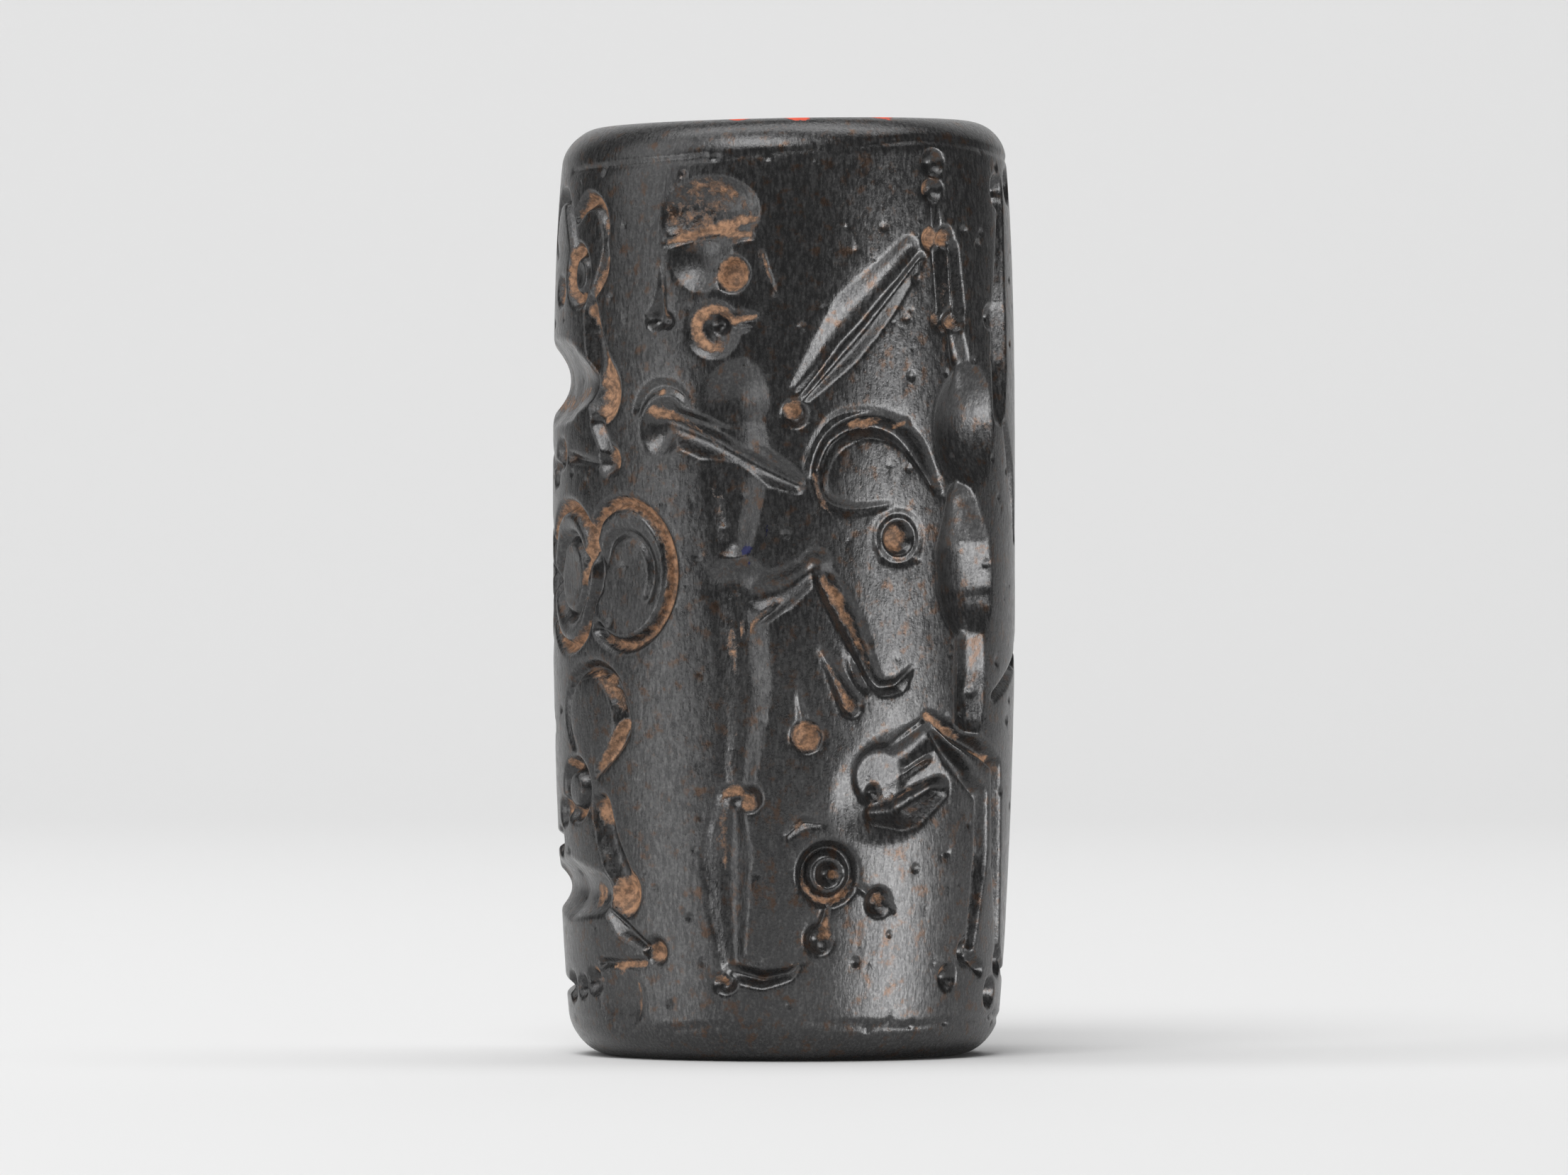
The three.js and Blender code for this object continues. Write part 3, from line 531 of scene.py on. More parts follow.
def upper_goat():
    chest, head = (-5.52, 17.7), (-6.9, 20.8)
    disc((27.95, 18.02), 1.02, .58)
    groove([(28.4, 18.1), (29.8, 17.98), (31.4, 17.95), (32.7, 17.9)],
           [1.7, 2.4, 2.3, 1.2], [.4, .56, .56, .3], 1.1)
    groove([(-6.15, 19.85), (-5.95, 19), chest], [.66, .9, 1.4], [.36, .42, .4], 1)
    hollow(chest, (.92, .74), .46, 95, 1)
    ring(head, (.5, .66), .38, .34)
    hollow(head, (.5, .6), .16, 0, 1.3)
    right_horn = [(-7.1, 22.4), (-6.4, 22.85), (-5.7, 22.55), (-5.45, 21.7), (-5.6, 20.8), (-6.1, 20.15)]
    groove(flowing(right_horn), [.36, .5, .3, .2, .36, .2], [.3, .36, .22, .12, .26, .12])
    left_horn = [(-7.1, 21.4), (-7.55, 22.3), (-8, 22.98), (-8.65, 23),
                 (-9.2, 22.4), (-9.25, 21.8), (-8.8, 21.35)]
    groove(flowing(left_horn), [.4, .42, .42, .3, .12], [.35, .36, .34, .3, .12])
    balls([(-8.2, 20.4, .42), (-5.22, 15.85, .42), (-7.95, 16.05, .44), (30.46, 15.52, .37)], .34)
    groove([(-5.8, 16.9), (-5.25, 15.98)], [.5, .32], .35)
    groove([(-5.5, 15.75), (-7.2, 15.95)], [.1, .26], [.1, .24])
    groove(flowing([(27.2, 16.72), (28.4, 16.58), (30, 15.8)]), [.28, .5, .2], .35)


# ==== The guilloche ====
# Two strands twist through six loops round the back. Each pair of strands goes over one loop and
# under the next loop to its left.

def guilloche():
    loops = [(-4.72, 12.85), (-7.4, 12.8), (-10.45, 12.6), (-13.85, 12.85), (-18.2, 12.4), (-22.35, 11.5)]
    outer, inner, width, deep = (1.62, 1.88), (.98, 1.08), .36, .33
    for right, left in zip(loops, loops[1:]):
        start = -130 if right is loops[0] else -10
        groove(arc(right, outer, start, 128) + arc(left, inner, -52, -185), width, deep)
        faint = .6 if right is loops[0] else 1
        groove(arc(right, inner, -35, 128) + arc(left, outer, -52, -185), width, [deep * faint, deep, deep])
    hollow(loops[0], (1.3, 1.6), .16, 0, .9)
    hollow((-7.42, 12.8), (1.2, 1.5), .16, 0, .9)
    last = loops[-1]
    groove(arc(last, outer, 22, 165), [.2, width, .2], [.15, deep, .15])
    ring(last, inner, .3, .26)
    groove(arc(loops[0], (.8, 1.12), 60, 320), [.1, .2, .1], .1)


# ==== The lower goat ====
# It crouches below the guilloche on the left, with one great horn, a drilled eye and bent legs.

def lower_goat():
    chest, haunch = (-4.85, 4.45), (28.22, 4.12)
    ring((-7.1, 7.15), .66, .42, .38)
    hollow((-8.1, 6.53), .42, .36)
    horn = [(-7, 8.15), (-7.5, 9.1), (-6.97, 10.1), (-6, 10.36),
            (-5.2, 10), (-4.78, 9.1), (-4.9, 8.5), (-5.8, 7.65)]
    groove(flowing(horn), [.14, .24, .4, .6, .56, .34], [.08, .16, .36, .4, .34, .2], 1)
    groove([(-5.75, 6.65), (-5.5, 5.8), chest], [.9, .9, 1.1], [.4, .36, .4], 1.1)
    hollow(chest, (.62, .7), .46, 0, 1)
    groove([(29.3, 4.6), (31.2, 4.5), (33, 4.4)], [1.3, 1.7, 1.2], [.34, .54, .36], 1.1)
    disc(haunch, 1.02, .56)
    groove([(27.8, 3.2), (27.88, 2.05)], [.95, .7], .38)
    groove([(28.1, 1.98), (30.35, 1.85)], [.4, .26], .3)
    balls([(30.85, 1.87, .42), (31.75, 1.9, .31), (-6.45, 2.08, .36), (-3.8, 2.9, .38)], .34)
    groove([(-5.8, 4.1), (-5, 3.5), (-4.15, 3.05)], [.2, .5, .2], [.16, .36, .26])
    groove([(-6, 2.55), (-4.2, 2.6)], [.3, .18], .2)
    hollow((-5.25, 1.62), (.95, .9), .13, 0, .35)


# ==== The drilled star behind, the lower lion and the small head ====
# The lion walks below the guilloche with one foreleg raised. Over its back float a ringed star
# with three balls and the small eared head of another beast.

def star_behind():
    ring((27.85, 8.92), .76, .24, .28)
    hollow((27.85, 8.92), .42, .1)
    balls([(26.65, 9.82, .37), (29.45, 8.76, .39), (28.15, 7.52, .26)], .32)
    groove([(28.7, 8.82), (29.3, 8.76)], [.14, .22], .18)


def lower_lion():
    haunch, shoulder, hock = (18.5, 4.98), (24.05, 6.75), (18.4, 1.92)
    hollow((25.92, 8.05), (1.5, 1.12), .5, 105)
    groove([(25.7, 7.2), (25.4, 6)], [1.2, .6], [.42, .15])
    groove([shoulder, (25.5, 4.75)], [.6, .78, .5], [.35, .45, .35])
    groove(flowing([(25.65, 4.6), (27.1, 5.42), (28.6, 5.7), (29.85, 5.8)]), [.42, .42, .32], .36)
    groove([(19.2, 5.55), (21.8, 5.5), (24.1, 5.62)], [1.5, 1.88, 1.5], [.5, .6, .42])
    groove([(20.2, 6.2), (23.6, 6.25)], [.2, .3, .2], .42)
    hollow(haunch, (1.32, 1.38), .66)
    tail = [(18, 5.4), (16.95, 5.85), (15.7, 6.55), (15.15, 7.4),
            (15.4, 8.3), (16.4, 8.9), (17.5, 8.98), (18.3, 8.3)]
    groove(flowing(tail), [.5, .46, .5, .5, .26], [.4, .36, .4, .4, .2])
    balls([(18.58, 7.25, .48), (30.25, 5.72, .42), (21.85, 2.5, .47), (22.45, 1.82, .4)])
    groove([(18.25, 3.9), (18.35, 2.4)], [1, .5], [.4, .15])
    hollow(hock, .52, .4)
    groove([(18.9, 2.15), (21.3, 2.52)], [.38, .28], .3)
    groove([(24.65, 4.6), (25.2, 2.4)], [.95, .42], [.44, .34])
    balls([(25.52, 1.88, .37), (26.22, 1.68, .37)], .34)


def small_head():
    hollow((21.45, 8.2), (1, 1.12), .5)
    for ear, tip in (((20.95, 8.7), (20.48, 9.2)), ((21.95, 8.62), (22.62, 8.95))):
        groove([ear, tip], [.6, .2], [.36, .12])
    hollow((21.1, 7.95), (.3, .45), .54, 20)


for cut_figure in (border_lines, spearman, star_in_front, held_lion, lifted_leg, crossed_blades, swordsman,
                   griffin, wing, upper_goat, guilloche, lower_goat, star_behind, lower_lion, small_head):
    cut_figure()


# ==== The carved stone ====
# The blank's skin is moved in by the map, so every cut is real relief. The cuts' edges are worn
# soft by rolling, the rims are rubbed, and the stone has small pits and natural flaws.

PIT_COUNT = 900
chance = np.random.default_rng(41)


def softened(field, spread):
    """The field blurred by a Gaussian of spread mm, closed round the girth."""
    reach = max(1, math.ceil(3 * spread * CELLS))
    steps = np.arange(-reach, reach + 1)
    weights = np.exp(-0.5 * (steps / (spread * CELLS)) ** 2)
    weights /= weights.sum()
    rows = np.pad(field, ((reach, reach), (0, 0)), mode="edge")
    upward = sum(weight * rows[k:k + field.shape[0]] for k, weight in enumerate(weights))
    ringed = np.pad(upward, ((0, 0), (reach, reach)), mode="wrap")
    return sum(weight * ringed[:, k:k + field.shape[1]] for k, weight in enumerate(weights))


def cloud(cell, seed):
    """Smooth random values from -1 to 1 over the map, with lumps of about cell mm."""
    lumps = np.random.default_rng(seed)
    around, tall = max(3, round(GIRTH / cell)), max(3, round(HEIGHT / cell) + 2)
    coarse = lumps.uniform(-1, 1, (tall, around))
    x = np.arange(COLUMNS) / COLUMNS * around
    y = np.arange(ROWS) / ROWS * (tall - 2)
    x0, y0 = x.astype(int), y.astype(int)
    fx, fy = x - x0, (y - y0)[:, None]
    fx, fy = fx * fx * (3 - 2 * fx), fy * fy * (3 - 2 * fy)
    left, right = coarse[:, x0 % around], coarse[:, (x0 + 1) % around]
    blend = left * (1 - fx) + right * fx
    return blend[y0] * (1 - fy) + blend[y0 + 1] * fy


def add_pits():
    """Small pits and nicks, a few of them larger, scattered over the wall."""
    for _ in range(PIT_COUNT):
        centre = (chance.uniform(-GIRTH / 2, GIRTH / 2), chance.uniform(0.3, HEIGHT - 0.3))
        size = 0.05 + 0.12 * chance.random() ** 4
        cells, along, up = oval_window(centre, size)
        bowl = np.clip(1 - ((along - centre[0]) ** 2 + (up - centre[1]) ** 2) / size ** 2, 0, 1)
        cut_map[cells] += 0.35 * size * bowl


def map_value(field, along, up):
    """The field's value at places on the wall, between its cells."""
    x = (along / GIRTH + 0.5) * COLUMNS
    y = np.clip(up * CELLS, 0, ROWS - 1.001)
    x0, y0 = np.floor(x).astype(int), y.astype(int)
    fx, fy = x - x0, y - y0
    low = field[y0, x0 % COLUMNS] * (1 - fx) + field[y0, (x0 + 1) % COLUMNS] * fx
    high = field[y0 + 1, x0 % COLUMNS] * (1 - fx) + field[y0 + 1, (x0 + 1) % COLUMNS] * fx
    return low * (1 - fy) + high * fy


cut_map = softened(cut_map, WORN_EDGE)
cut_only = cut_map.copy()
add_pits()
cut_map = softened(cut_map, 0.02)
cut_map += 0.006 * (1 + cloud(2.2, 5)) + 0.003 * (1 + cloud(0.5, 6))


def rim_wear(along, up):
    """How far the rims are rubbed back, in mm."""
    turn = along / RADIUS
    top = 0.035 + 0.025 * np.sin(3 * turn + 1) + 0.02 * np.sin(7 * turn)
    foot = 0.05 + 0.04 * np.sin(2 * turn + 0.4) + 0.025 * np.sin(5 * turn + 2)
    top = np.exp(-((up - HEIGHT) / 0.7) ** 2) * top
    foot = np.exp(-(up / 1.1) ** 2) * foot
    return np.maximum(top, 0) + np.maximum(foot, 0)


def carve(mesh):
    """Move the blank's skin in by the map, and slope its top end."""
    places = np.empty(len(mesh.vertices) * 3)
    mesh.vertices.foreach_get("co", places)
    places = places.reshape(-1, 3) / MM
    out = np.hypot(places[:, 0], places[:, 1])
    along = np.arctan2(places[:, 0], -places[:, 1]) * RADIUS
    up = places[:, 2]
    wall = np.clip((out - (RADIUS - 1.25)) / 0.6, 0, 1)
    deep = wall * (map_value(cut_map, along, up) + rim_wear(along, up))
    shrink = (out - deep) / out
    places[:, 0] *= shrink
    places[:, 1] *= shrink
    share = np.clip((up - SLOPE_START) / (HEIGHT - SLOPE_START), 0, 1)
    places[:, 2] += share * TOP_SLOPE * (places[:, 0] - RADIUS)
    mesh.vertices.foreach_set("co", (places * MM).ravel())


def thinned(mesh, triangles):
    """The mesh brought down to a number of triangles, fewest where the stone is smooth."""
    seal = bpy.data.objects.new("seal_stone", mesh)
    bpy.context.scene.collection.objects.link(seal)
    faces = sum(len(face.vertices) - 2 for face in mesh.polygons)
    thin = seal.modifiers.new("thin", "DECIMATE")
    thin.ratio = triangles / faces
    finished = bpy.data.meshes.new_from_object(seal.evaluated_get(bpy.context.evaluated_depsgraph_get()))
    seal.modifiers.remove(thin)
    seal.data = finished
    bpy.data.meshes.remove(mesh)
    return seal


# ==== Earth in the cuts ====
# Orange-brown earth from the ground is caked in the drill holes and along the edges of the cuts,
# most of it on the left of the front. It is laid on its own map with the same tools as the cuts:
# a depth here is the amount of earth. Away from the front a thin film lies in all the cuts.

EARTH_ELSEWHERE = 0.5
EARTH_ON_STROKES = [
    # points, widths, amounts
    ([(-7.05, 22.35), (-6.4, 22.85), (-5.7, 22.6), (-5.5, 21.9)], [.3, .4, .36, .2], [1, .9, .8, .6]),
    ([(-5.5, 21.2), (-5.6, 20.8), (-6, 20.2)], [.14, .36, .2], 1),
    (arc((-6.95, 20.85), (.5, .68), 110, 290), [.4, .44, .24], 1.1),
    ([(-6.2, 19.85), (-5.8, 19.1), (-5.55, 18.4), (-5.4, 17.2)], [.5, .4, .9, 1.1], [1, .9, 1, .9]),
    ([(-10, 17.4), (-8, 17.4), (-6.8, 17.7)], [.6, .5], .6),
    (arc((-4.72, 12.85), (1.62, 1.88), -120, 150), [.3, .4, .44, .36], [.7, .8, 1, .85]),
    (arc((-7.4, 12.8), (1.62, 1.88), 25, 150), .42, .9),
    (arc((-7.4, 12.8), (1.62, 1.88), 215, 330), .4, .95),
    ([(-5.95, 13.9), (-6.35, 13.3), (-6.65, 12.6)], [.3, .36, .2], 1),
    ([(-6.9, 10.15), (-6.2, 10.3), (-5.5, 10.1), (-4.95, 9.3)], [.16, .3, .4, .24], [.4, .65, .8, .6]),
    ([(-4.85, 8.9), (-5.2, 8.3), (-5.85, 7.7)], [.3, .4, .2], 1.1),
    ([(-7.5, 9.1), (-7.2, 8.2)], .12, .6),
    (arc((-7.1, 7.15), .66, 70, -10), .24, .7),
    (arc((-7.1, 7.15), .66, 225, 300), .26, .9),
    ([(-4.95, 5.9), (-4.6, 5)], [.1, .2], .8),
    ([(-5.5, 2.5), (-4.15, 2.55)], .22, 1),
    ([(-4.45, 2.5), (-4.45, 1.1)], [.3, .14], [1, .6]),
    ([(-5.1, 2.4), (-5.1, 1.8)], [.5, .2], [.7, .3]),
    ([(-2.7, 23), (-2.1, 23.2), (-1.3, 22.8), (-1, 22.4)], [.3, .4, .2], [.5, .6, .4]),
    ([(-3.25, 21.6), (-2.4, 21.84), (-1.4, 22.08), (-.7, 22.26)], [.2, .26, .34, .14], [.8, .9, 1.1, .9]),
    ([(-1.7, 21.82), (-.85, 21.78)], .2, 1),
    (arc((-1.92, 19.32), .52, 20, 290), .34, [.7, 1, 1, .6]),
    ([(-1.35, 19.5), (-.72, 19.62)], [.3, .14], .9),
    ([(-3.42, 20.6), (-3.35, 19.6)], [.1, .3], .65),
    ([(-.57, 21.25), (-.3, 20.4)], [.1, .2, .1], .85),
    ([(-3.75, 17.6), (-3.15, 17.66)], [.1, .24, .1], .8),
    ([(-3.7, 17.15), (-2.9, 16.95), (-1.9, 16.25)], [.4, .24, .14], [1, .6, .45]),
    ([(-1.95, 15.1), (-1.66, 14.1)], [.06, .14], .7),
    ([(-1.4, 11.05), (-.7, 11.7), (-.15, 12.2)], [.3, .22, .14], [.9, .7, .5]),
    ([(-1.48, 11.9), (-1.38, 10.5)], [.08, .12], .8),
    ([(-1.38, 9.3), (-1.3, 8.4)], .12, .8),
    ([(1.1, 12.75), (1.45, 12.2), (1.9, 11.4), (2.4, 10.3)], [.3, .4, .24, .14], [.8, .8, .6, .5]),
    ([(-1.6, 7.1), (-1.25, 7.15)], [.3, .34], .95),
    ([(-1.7, 6.9), (-1.7, 5.2)], [.16, .34, .2], [.5, .6, .7]),
    ([(-1.15, 5.6), (-1.15, 4.8)], .12, .5),
    ([(-1.95, 2.3), (-1.65, 2.1)], .3, .7),
    ([(-.2, 2.42), (.42, 2.62)], .14, .7),
    (arc((1.2, 4.97), .72, 170, 345), .24, [.5, .85, .6]),
    ([(1.15, 3.4), (1.22, 4)], [.5, .14], .75),
    ([(.2, 6.15), (.5, 6.3)], .14, .8),
    ([(1.15, 10.5), (1.6, 9.8), (1.84, 9.35)], [.1, .2, .42], .75),
    ([(1.7, 10.8), (1.85, 10.3)], .1, .6),
    ([(1.9, 16.8), (2.6, 16.85)], .36, .8),
    ([(3.2, 16.72), (3.4, 16.86)], .2, .9),
    ([(.8, 15.5), (.98, 14.8), (1.4, 14.15)], [.2, .3, .1], .6),
    ([(2.6, 6.7), (4.4, 7.4)], .5, .42),
    ([(4.1, 9.15), (5, 8.74), (5.7, 8.48)], [.2, .24, .14], 1),
    ([(6.2, 8.1), (7.05, 7.9)], [.2, .36], .95),
    ([(4.3, 8.6), (4.95, 7.95)], .12, .6),
    ([(4.92, 21.2), (4.84, 19.9)], .12, .5),
]
EARTH_IN_HOLES = [
    # along, up, radius, amount
    (-8.2, 20.4, .4, .9), (-5.08, 15.95, .36, 1), (-7.9, 16.1, .4, .9), (-7.5, 7.78, .26, .9),
    (-8.05, 6.55, .36, .9), (-5.65, 6.6, .5, .9), (-4.85, 4.4, .66, 1.1), (-6.4, 4.35, .4, .8),
    (-3.78, 2.9, .34, 1), (-6.25, 2.25, .36, 1), (-2.3, 22.5, 1.2, .45), (-1.4, 20.74, .5, 1.2),
    (.22, 17.18, .32, .9), (-1, 6.85, .26, .95), (1.4, 4.95, .16, 1), (2.75, 4.25, .26, .7),
    (.6, 8.58, .44, 1), (3.14, 13.78, .4, .95), (4.3, 23.05, .26, .7), (4.33, 21.72, .34, 1),
    (4.83, 21.75, .28, .95), (4.55, 19.6, .28, .65), (5.25, 19.5, .24, .65), (5.08, 2.4, .2, .7),
]


def lay_earth():
    """Earth on its strokes and in its holes, kept to the cuts, with a film in the cuts elsewhere."""
    for points, widths, amounts in EARTH_ON_STROKES:
        groove(points, widths, amounts, 0.5)
    for along, up, radius, amount in EARTH_IN_HOLES:
        hollow((along, up), radius, amount, 0, 0.4)
    along = np.arange(COLUMNS) * GIRTH / COLUMNS - GIRTH / 2
    front = np.exp(-(np.clip(np.abs(along) - 7.5, 0, None) / 2.5) ** 2)[None, :]
    film = (EARTH_ELSEWHERE * (1 - front) + 0.08 * front) * np.clip(cut_only / 0.16, 0, 1)
    held = np.clip(cut_only / 0.05, 0.35, 1)
    return softened(np.maximum(earth_map * held, film), 0.045)


worked_map = earth_map
earth_cells = lay_earth()


# ==== The stone's finish ====
# Hematite polished by long handling: near black with a dull metallic sheen, fine slanting
# scratches, a sparkle of grain, small rust-brown flecks, and red paint specks on the top rim.

STONE_DARK = (0.048, 0.048, 0.049)
STONE_PALE = (0.130, 0.129, 0.128)
STONE_RUST = (0.085, 0.052, 0.035)
EARTH_DEEP = (0.130, 0.068, 0.034)
EARTH_PALE = (0.460, 0.250, 0.135)
PAINT_RED = (0.80, 0.085, 0.030)
PAINT_BLUE = (0.022, 0.024, 0.070)
SHEEN_METAL = 0.8
POLISH = 0.27
SPARKLE_SHARE = 0.7
CLOUD_SHARE = 0.15
SCRATCH_DEPTH = 0.000010
CRUST_DEPTH = 0.00006


def stone_material():
    stone = bpy.data.materials.new("polished_hematite")
    stone.use_nodes = True
    nodes, links = stone.node_tree.nodes, stone.node_tree.links
    nodes.clear()

    def node(kind, **settings):
        made = nodes.new(kind)
        for name, value in settings.items():
            setattr(made, name, value)
        return made

    def fill(socket, value):
        if isinstance(value, bpy.types.NodeSocket):
            links.new(value, socket)
        elif value is not None:
            socket.default_value = (*value, 1) if socket.type == "RGBA" and len(value) == 3 else value

    def noise(vector, scale, detail, roughness=0.55):
        made = node("ShaderNodeTexNoise")
        settings = {"Vector": vector, "Scale": scale, "Detail": detail, "Roughness": roughness}
        for name, value in settings.items():
            fill(made.inputs[name], value)
        return made.outputs["Fac"]

    def ramp(value, low, high, to_low=0.0, to_high=1.0):
        made = node("ShaderNodeMapRange", clamp=True, interpolation_type="SMOOTHSTEP")
        for socket, given in zip(made.inputs, (value, low, high, to_low, to_high)):
            fill(socket, given)
        return made.outputs["Result"]

    def mixed(share, first, second):
        made = node("ShaderNodeMix", data_type="RGBA")
        for index, given in ((0, share), (6, first), (7, second)):
            fill(made.inputs[index], given)
        return made.outputs[2]

    def maths(operation, first, second):
        made = node("ShaderNodeMath", operation=operation)
        fill(made.inputs[0], first)
        fill(made.inputs[1], second)
        return made.outputs[0]

    def attribute(name):
        return node("ShaderNodeAttribute", attribute_name=name).outputs["Fac"]

    place = node("ShaderNodeTexCoord").outputs["Object"]
    slant = node("ShaderNodeMapping")
    fill(slant.inputs["Vector"], place)
    slant.inputs["Rotation"].default_value = (0, math.radians(-14), 0)
    slant.inputs["Scale"].default_value = (11000, 11000, 3600)
    scratches = noise(slant.outputs[0], 1.0, 4.0, 0.65)
    grain = noise(place, 14000, 2.0, 0.6)
    clouds = noise(place, 420, 4.0)
    speckle = noise(place, 2600, 3.0, 0.65)
    cut, earth, red, blue = (attribute(name) for name in ("cut", "earth", "red", "blue"))

    sparkle = maths("MULTIPLY", ramp(grain, 0.3, 0.75), ramp(scratches, 0.3, 0.7))
    drifts = maths("MULTIPLY", ramp(clouds, 0.35, 0.7), CLOUD_SHARE)
    body = mixed(maths("ADD", maths("MULTIPLY", sparkle, SPARKLE_SHARE), drifts), STONE_DARK, STONE_PALE)
    body = mixed(ramp(speckle, 0.54, 0.70, 0, 0.8), body, STONE_RUST)
    crust_noise = noise(place, 3200, 5.0, 0.7)

    def ragged(amount, strength):
        return maths("ADD", amount, maths("MULTIPLY", maths("SUBTRACT", crust_noise, 0.5), strength))

    crust = ramp(ragged(earth, 1.5), 0.34, 0.78)
    soil = mixed(ramp(noise(place, 5200, 4.0, 0.7), 0.36, 0.66), EARTH_DEEP, EARTH_PALE)
    colour = mixed(maths("MULTIPLY", crust, 0.85), body, soil)
    red_spots = ramp(ragged(red, 1.2), 0.42, 0.6)
    colour = mixed(red_spots, colour, PAINT_RED)
    colour = mixed(ramp(ragged(blue, 2.0), 0.5, 0.66), colour, PAINT_BLUE)
    covered = maths("MAXIMUM", crust, red_spots)

    shader = node("ShaderNodeBsdfPrincipled")
    fill(shader.inputs["Base Color"], colour)
    fill(shader.inputs["Metallic"], maths("MULTIPLY", maths("SUBTRACT", 1.0, covered), SHEEN_METAL))
    polish = ramp(scratches, 0.3, 0.75, POLISH - 0.06, POLISH + 0.12)
    smooth = maths("ADD", polish, maths("MULTIPLY", cut, 0.05))
    fill(shader.inputs["Roughness"], maths("ADD", smooth, maths("MULTIPLY", covered, 0.35)))
    scored = node("ShaderNodeBump")
    scored.inputs["Strength"].default_value = 0.9
    scored.inputs["Distance"].default_value = SCRATCH_DEPTH
    fill(scored.inputs["Height"], maths("ADD", scratches, maths("MULTIPLY", grain, 0.5)))
    crusted = node("ShaderNodeBump")
    crusted.inputs["Strength"].default_value = 0.8
    crusted.inputs["Distance"].default_value = CRUST_DEPTH
    fill(crusted.inputs["Height"], maths("MULTIPLY", covered, crust_noise))
    links.new(scored.outputs[0], crusted.inputs["Normal"])
    links.new(crusted.outputs[0], shader.inputs["Normal"])
    links.new(shader.outputs[0], node("ShaderNodeOutputMaterial").inputs["Surface"])
    return stone


PAINT_SPECKS = {
    # along, how far out from the rim's crown, reach
    "red": [(-1.5, 0.45, 0.42), (0.45, 0.4, 0.5), (3.4, 0.4, 0.4), (-3.2, 0.6, 0.35), (9.5, 0.9, 0.4)],
    "blue": [(-1, 13.5, 0.16), (-0.55, 13.8, 0.14), (-0.95, 13.1, 0.11)],
}


def finish_attributes(mesh):
    """Each point's depth of cut, earth and paint."""
    places = np.empty(len(mesh.vertices) * 3)
    mesh.vertices.foreach_get("co", places)
    places = places.reshape(-1, 3) / MM
    out = np.hypot(places[:, 0], places[:, 1])
    along = np.arctan2(places[:, 0], -places[:, 1]) * RADIUS
    up = places[:, 2]
    wall = np.clip((out - (RADIUS - 1.3)) / 0.4, 0, 1)
    red = np.zeros(len(out))
    crown = drum_radius(HEIGHT - TOP_ROUND) - TOP_ROUND
    for middle, inward, reach in PAINT_SPECKS["red"]:
        far = (along - middle) ** 2 + 2.5 * (out - crown - 0.55 + inward) ** 2
        red = np.maximum(red, np.exp(-far / reach ** 2) * (up > HEIGHT - 1.2))
    blue = np.zeros(len(out))
    for middle, height, reach in PAINT_SPECKS["blue"]:
        blue = np.maximum(blue, np.exp(-((along - middle) ** 2 + (up - height) ** 2) / reach ** 2))
    values = {
        "cut": np.clip(wall * map_value(cut_only, along, up) / 0.5, 0, 1),
        "earth": wall * map_value(earth_cells, along, up),
        "red": red,
        "blue": blue,
    }
    for name, value in values.items():
        layer = mesh.attributes.new(name, "FLOAT", "POINT")
        layer.data.foreach_set("value", value.astype(np.float32))


hematite = stone_material()
blank = turned_drum(hematite)
carve(blank)
seal_stone = thinned(blank, FINISHED_TRIANGLES)
finish_attributes(seal_stone.data)
seal_stone.data.polygons.foreach_set("use_smooth", [True] * len(seal_stone.data.polygons))
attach(seal_stone, "root")
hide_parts("seal")


# ==== The studio ====
# The seal stands near the front edge of a sheet of pale paper that sweeps up behind it, in a dark
# room. Two low side lights, a glow on the left and a light above make the highlights, and a
# light at the back evens out the paper.

PAPER_PALE = (0.80, 0.80, 0.80)
CAMERA_DISTANCE = 0.30
FRAME_HEIGHT = 0.0315
SWEEP_WIDTH = 0.9
SWEEP_FRONT = -0.10
SWEEP_BACK = 0.50
SWEEP_BEND = 0.20
SWEEP_TOP = 0.55
BEND_STEPS = 16
LIGHT_DISTANCE = 0.40
SIDE_LIGHT_HEIGHT = -0.05
ROOM_LIGHT = 0.06
PICTURE_SHAPE = 2212 / 1657

bend_start = SWEEP_BACK - SWEEP_BEND
sweep_profile = [(SWEEP_FRONT, 0.0), (bend_start, 0.0)]
for step in range(1, BEND_STEPS + 1):
    turn = math.pi / 2 * step / BEND_STEPS
    sweep_profile.append((bend_start + SWEEP_BEND * math.sin(turn), SWEEP_BEND * (1 - math.cos(turn))))
sweep_profile.append((SWEEP_BACK, SWEEP_TOP))
sweep_points = [(side * SWEEP_WIDTH / 2, away, up) for away, up in sweep_profile for side in (-1, 1)]
sweep_faces = [(2 * k, 2 * k + 1, 2 * k + 3, 2 * k + 2) for k in range(len(sweep_profile) - 1)]
sweep_mesh = bpy.data.meshes.new("paper_sweep")
sweep_mesh.from_pydata(sweep_points, [], sweep_faces)
sweep_mesh.polygons.foreach_set("use_smooth", [True] * len(sweep_faces))
paper_sweep = bpy.data.objects.new("paper_sweep", sweep_mesh)
bpy.context.scene.collection.objects.link(paper_sweep)
paper = bpy.data.materials.new("pale_paper")
paper.use_nodes = True
paper_shader = paper.node_tree.nodes["Principled BSDF"]
paper_shader.inputs["Base Color"].default_value = (*PAPER_PALE, 1)
paper_shader.inputs["Roughness"].default_value = 0.9
paper_shader.inputs["Specular IOR Level"].default_value = 0.1
sweep_mesh.materials.append(paper)


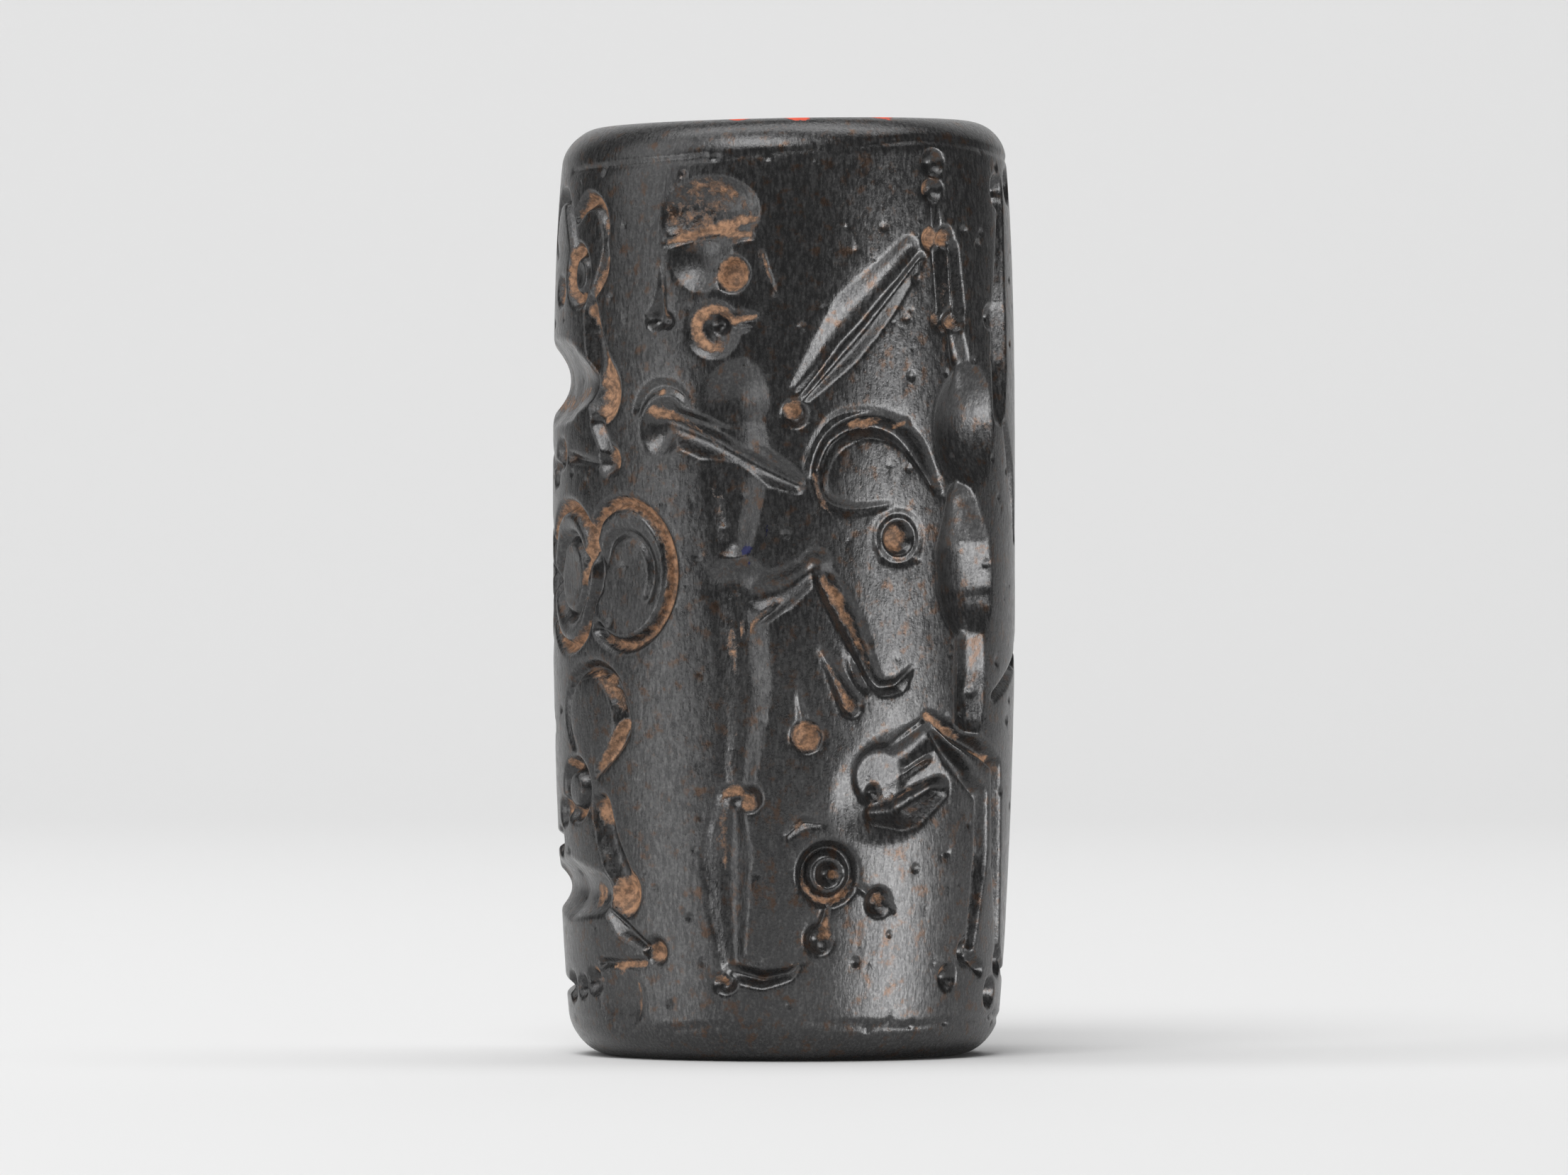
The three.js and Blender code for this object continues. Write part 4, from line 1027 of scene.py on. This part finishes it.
def soft_light(name, place, size, power, target=(0, 0, 0.0125)):
    light = bpy.data.lights.new(name, "AREA")
    light.shape = "RECTANGLE"
    light.size, light.size_y = size
    light.energy = power
    lamp = bpy.data.objects.new(name, light)
    bpy.context.scene.collection.objects.link(lamp)
    lamp.location = place
    aim = mathutils.Vector(target) - mathutils.Vector(place)
    lamp.rotation_euler = aim.to_track_quat("-Z", "Y").to_euler()
    lamp.visible_camera = False
    return lamp


def round_place(azimuth, height):
    """A place round the seal: azimuth 0 is in front of it, and grows to the right."""
    turn = math.radians(azimuth)
    return (LIGHT_DISTANCE * math.sin(turn), -LIGHT_DISTANCE * math.cos(turn), height)


left_light = soft_light("left_light", round_place(-60, SIDE_LIGHT_HEIGHT), (0.06, 0.08), 0.42)
right_light = soft_light("right_light", round_place(57, SIDE_LIGHT_HEIGHT), (0.19, 0.07), 1.10)
soft_light("left_glow", round_place(-75, 0.24), (0.34, 0.40), 0.60)
soft_light("top_light", (-0.08, -0.24, 0.34), (0.22, 0.22), 1.0)
soft_light("back_light", (0.0, 0.10, 0.5), (0.6, 0.3), 2.1, (0, 0.5, 0.08))

# The two side lights sit a little below the paper's edges, so the paper isn't in their way.
seal_alone = bpy.data.collections.new("seal_alone")
seal_alone.objects.link(seal_stone)
for side_light in (left_light, right_light):
    side_light.light_linking.receiver_collection = seal_alone
    side_light.light_linking.blocker_collection = seal_alone

world = bpy.context.scene.world or bpy.data.worlds.new("studio")
bpy.context.scene.world = world
world.use_nodes = True
world.node_tree.nodes["Background"].inputs["Color"].default_value = (1, 1, 1, 1)
world.node_tree.nodes["Background"].inputs["Strength"].default_value = ROOM_LIGHT

lens = bpy.data.cameras.new("camera")
lens.sensor_width = 36
lens.lens = 36 * CAMERA_DISTANCE / (FRAME_HEIGHT * PICTURE_SHAPE)
lens.clip_start, lens.clip_end = 0.01, 10
camera = bpy.data.objects.new("camera", lens)
bpy.context.scene.collection.objects.link(camera)
camera.location = (0, -CAMERA_DISTANCE, HEIGHT * MM / 2)
camera.rotation_euler = (math.pi / 2, 0, 0)
bpy.context.scene.camera = camera
bpy.context.scene.view_settings.view_transform = "Standard"
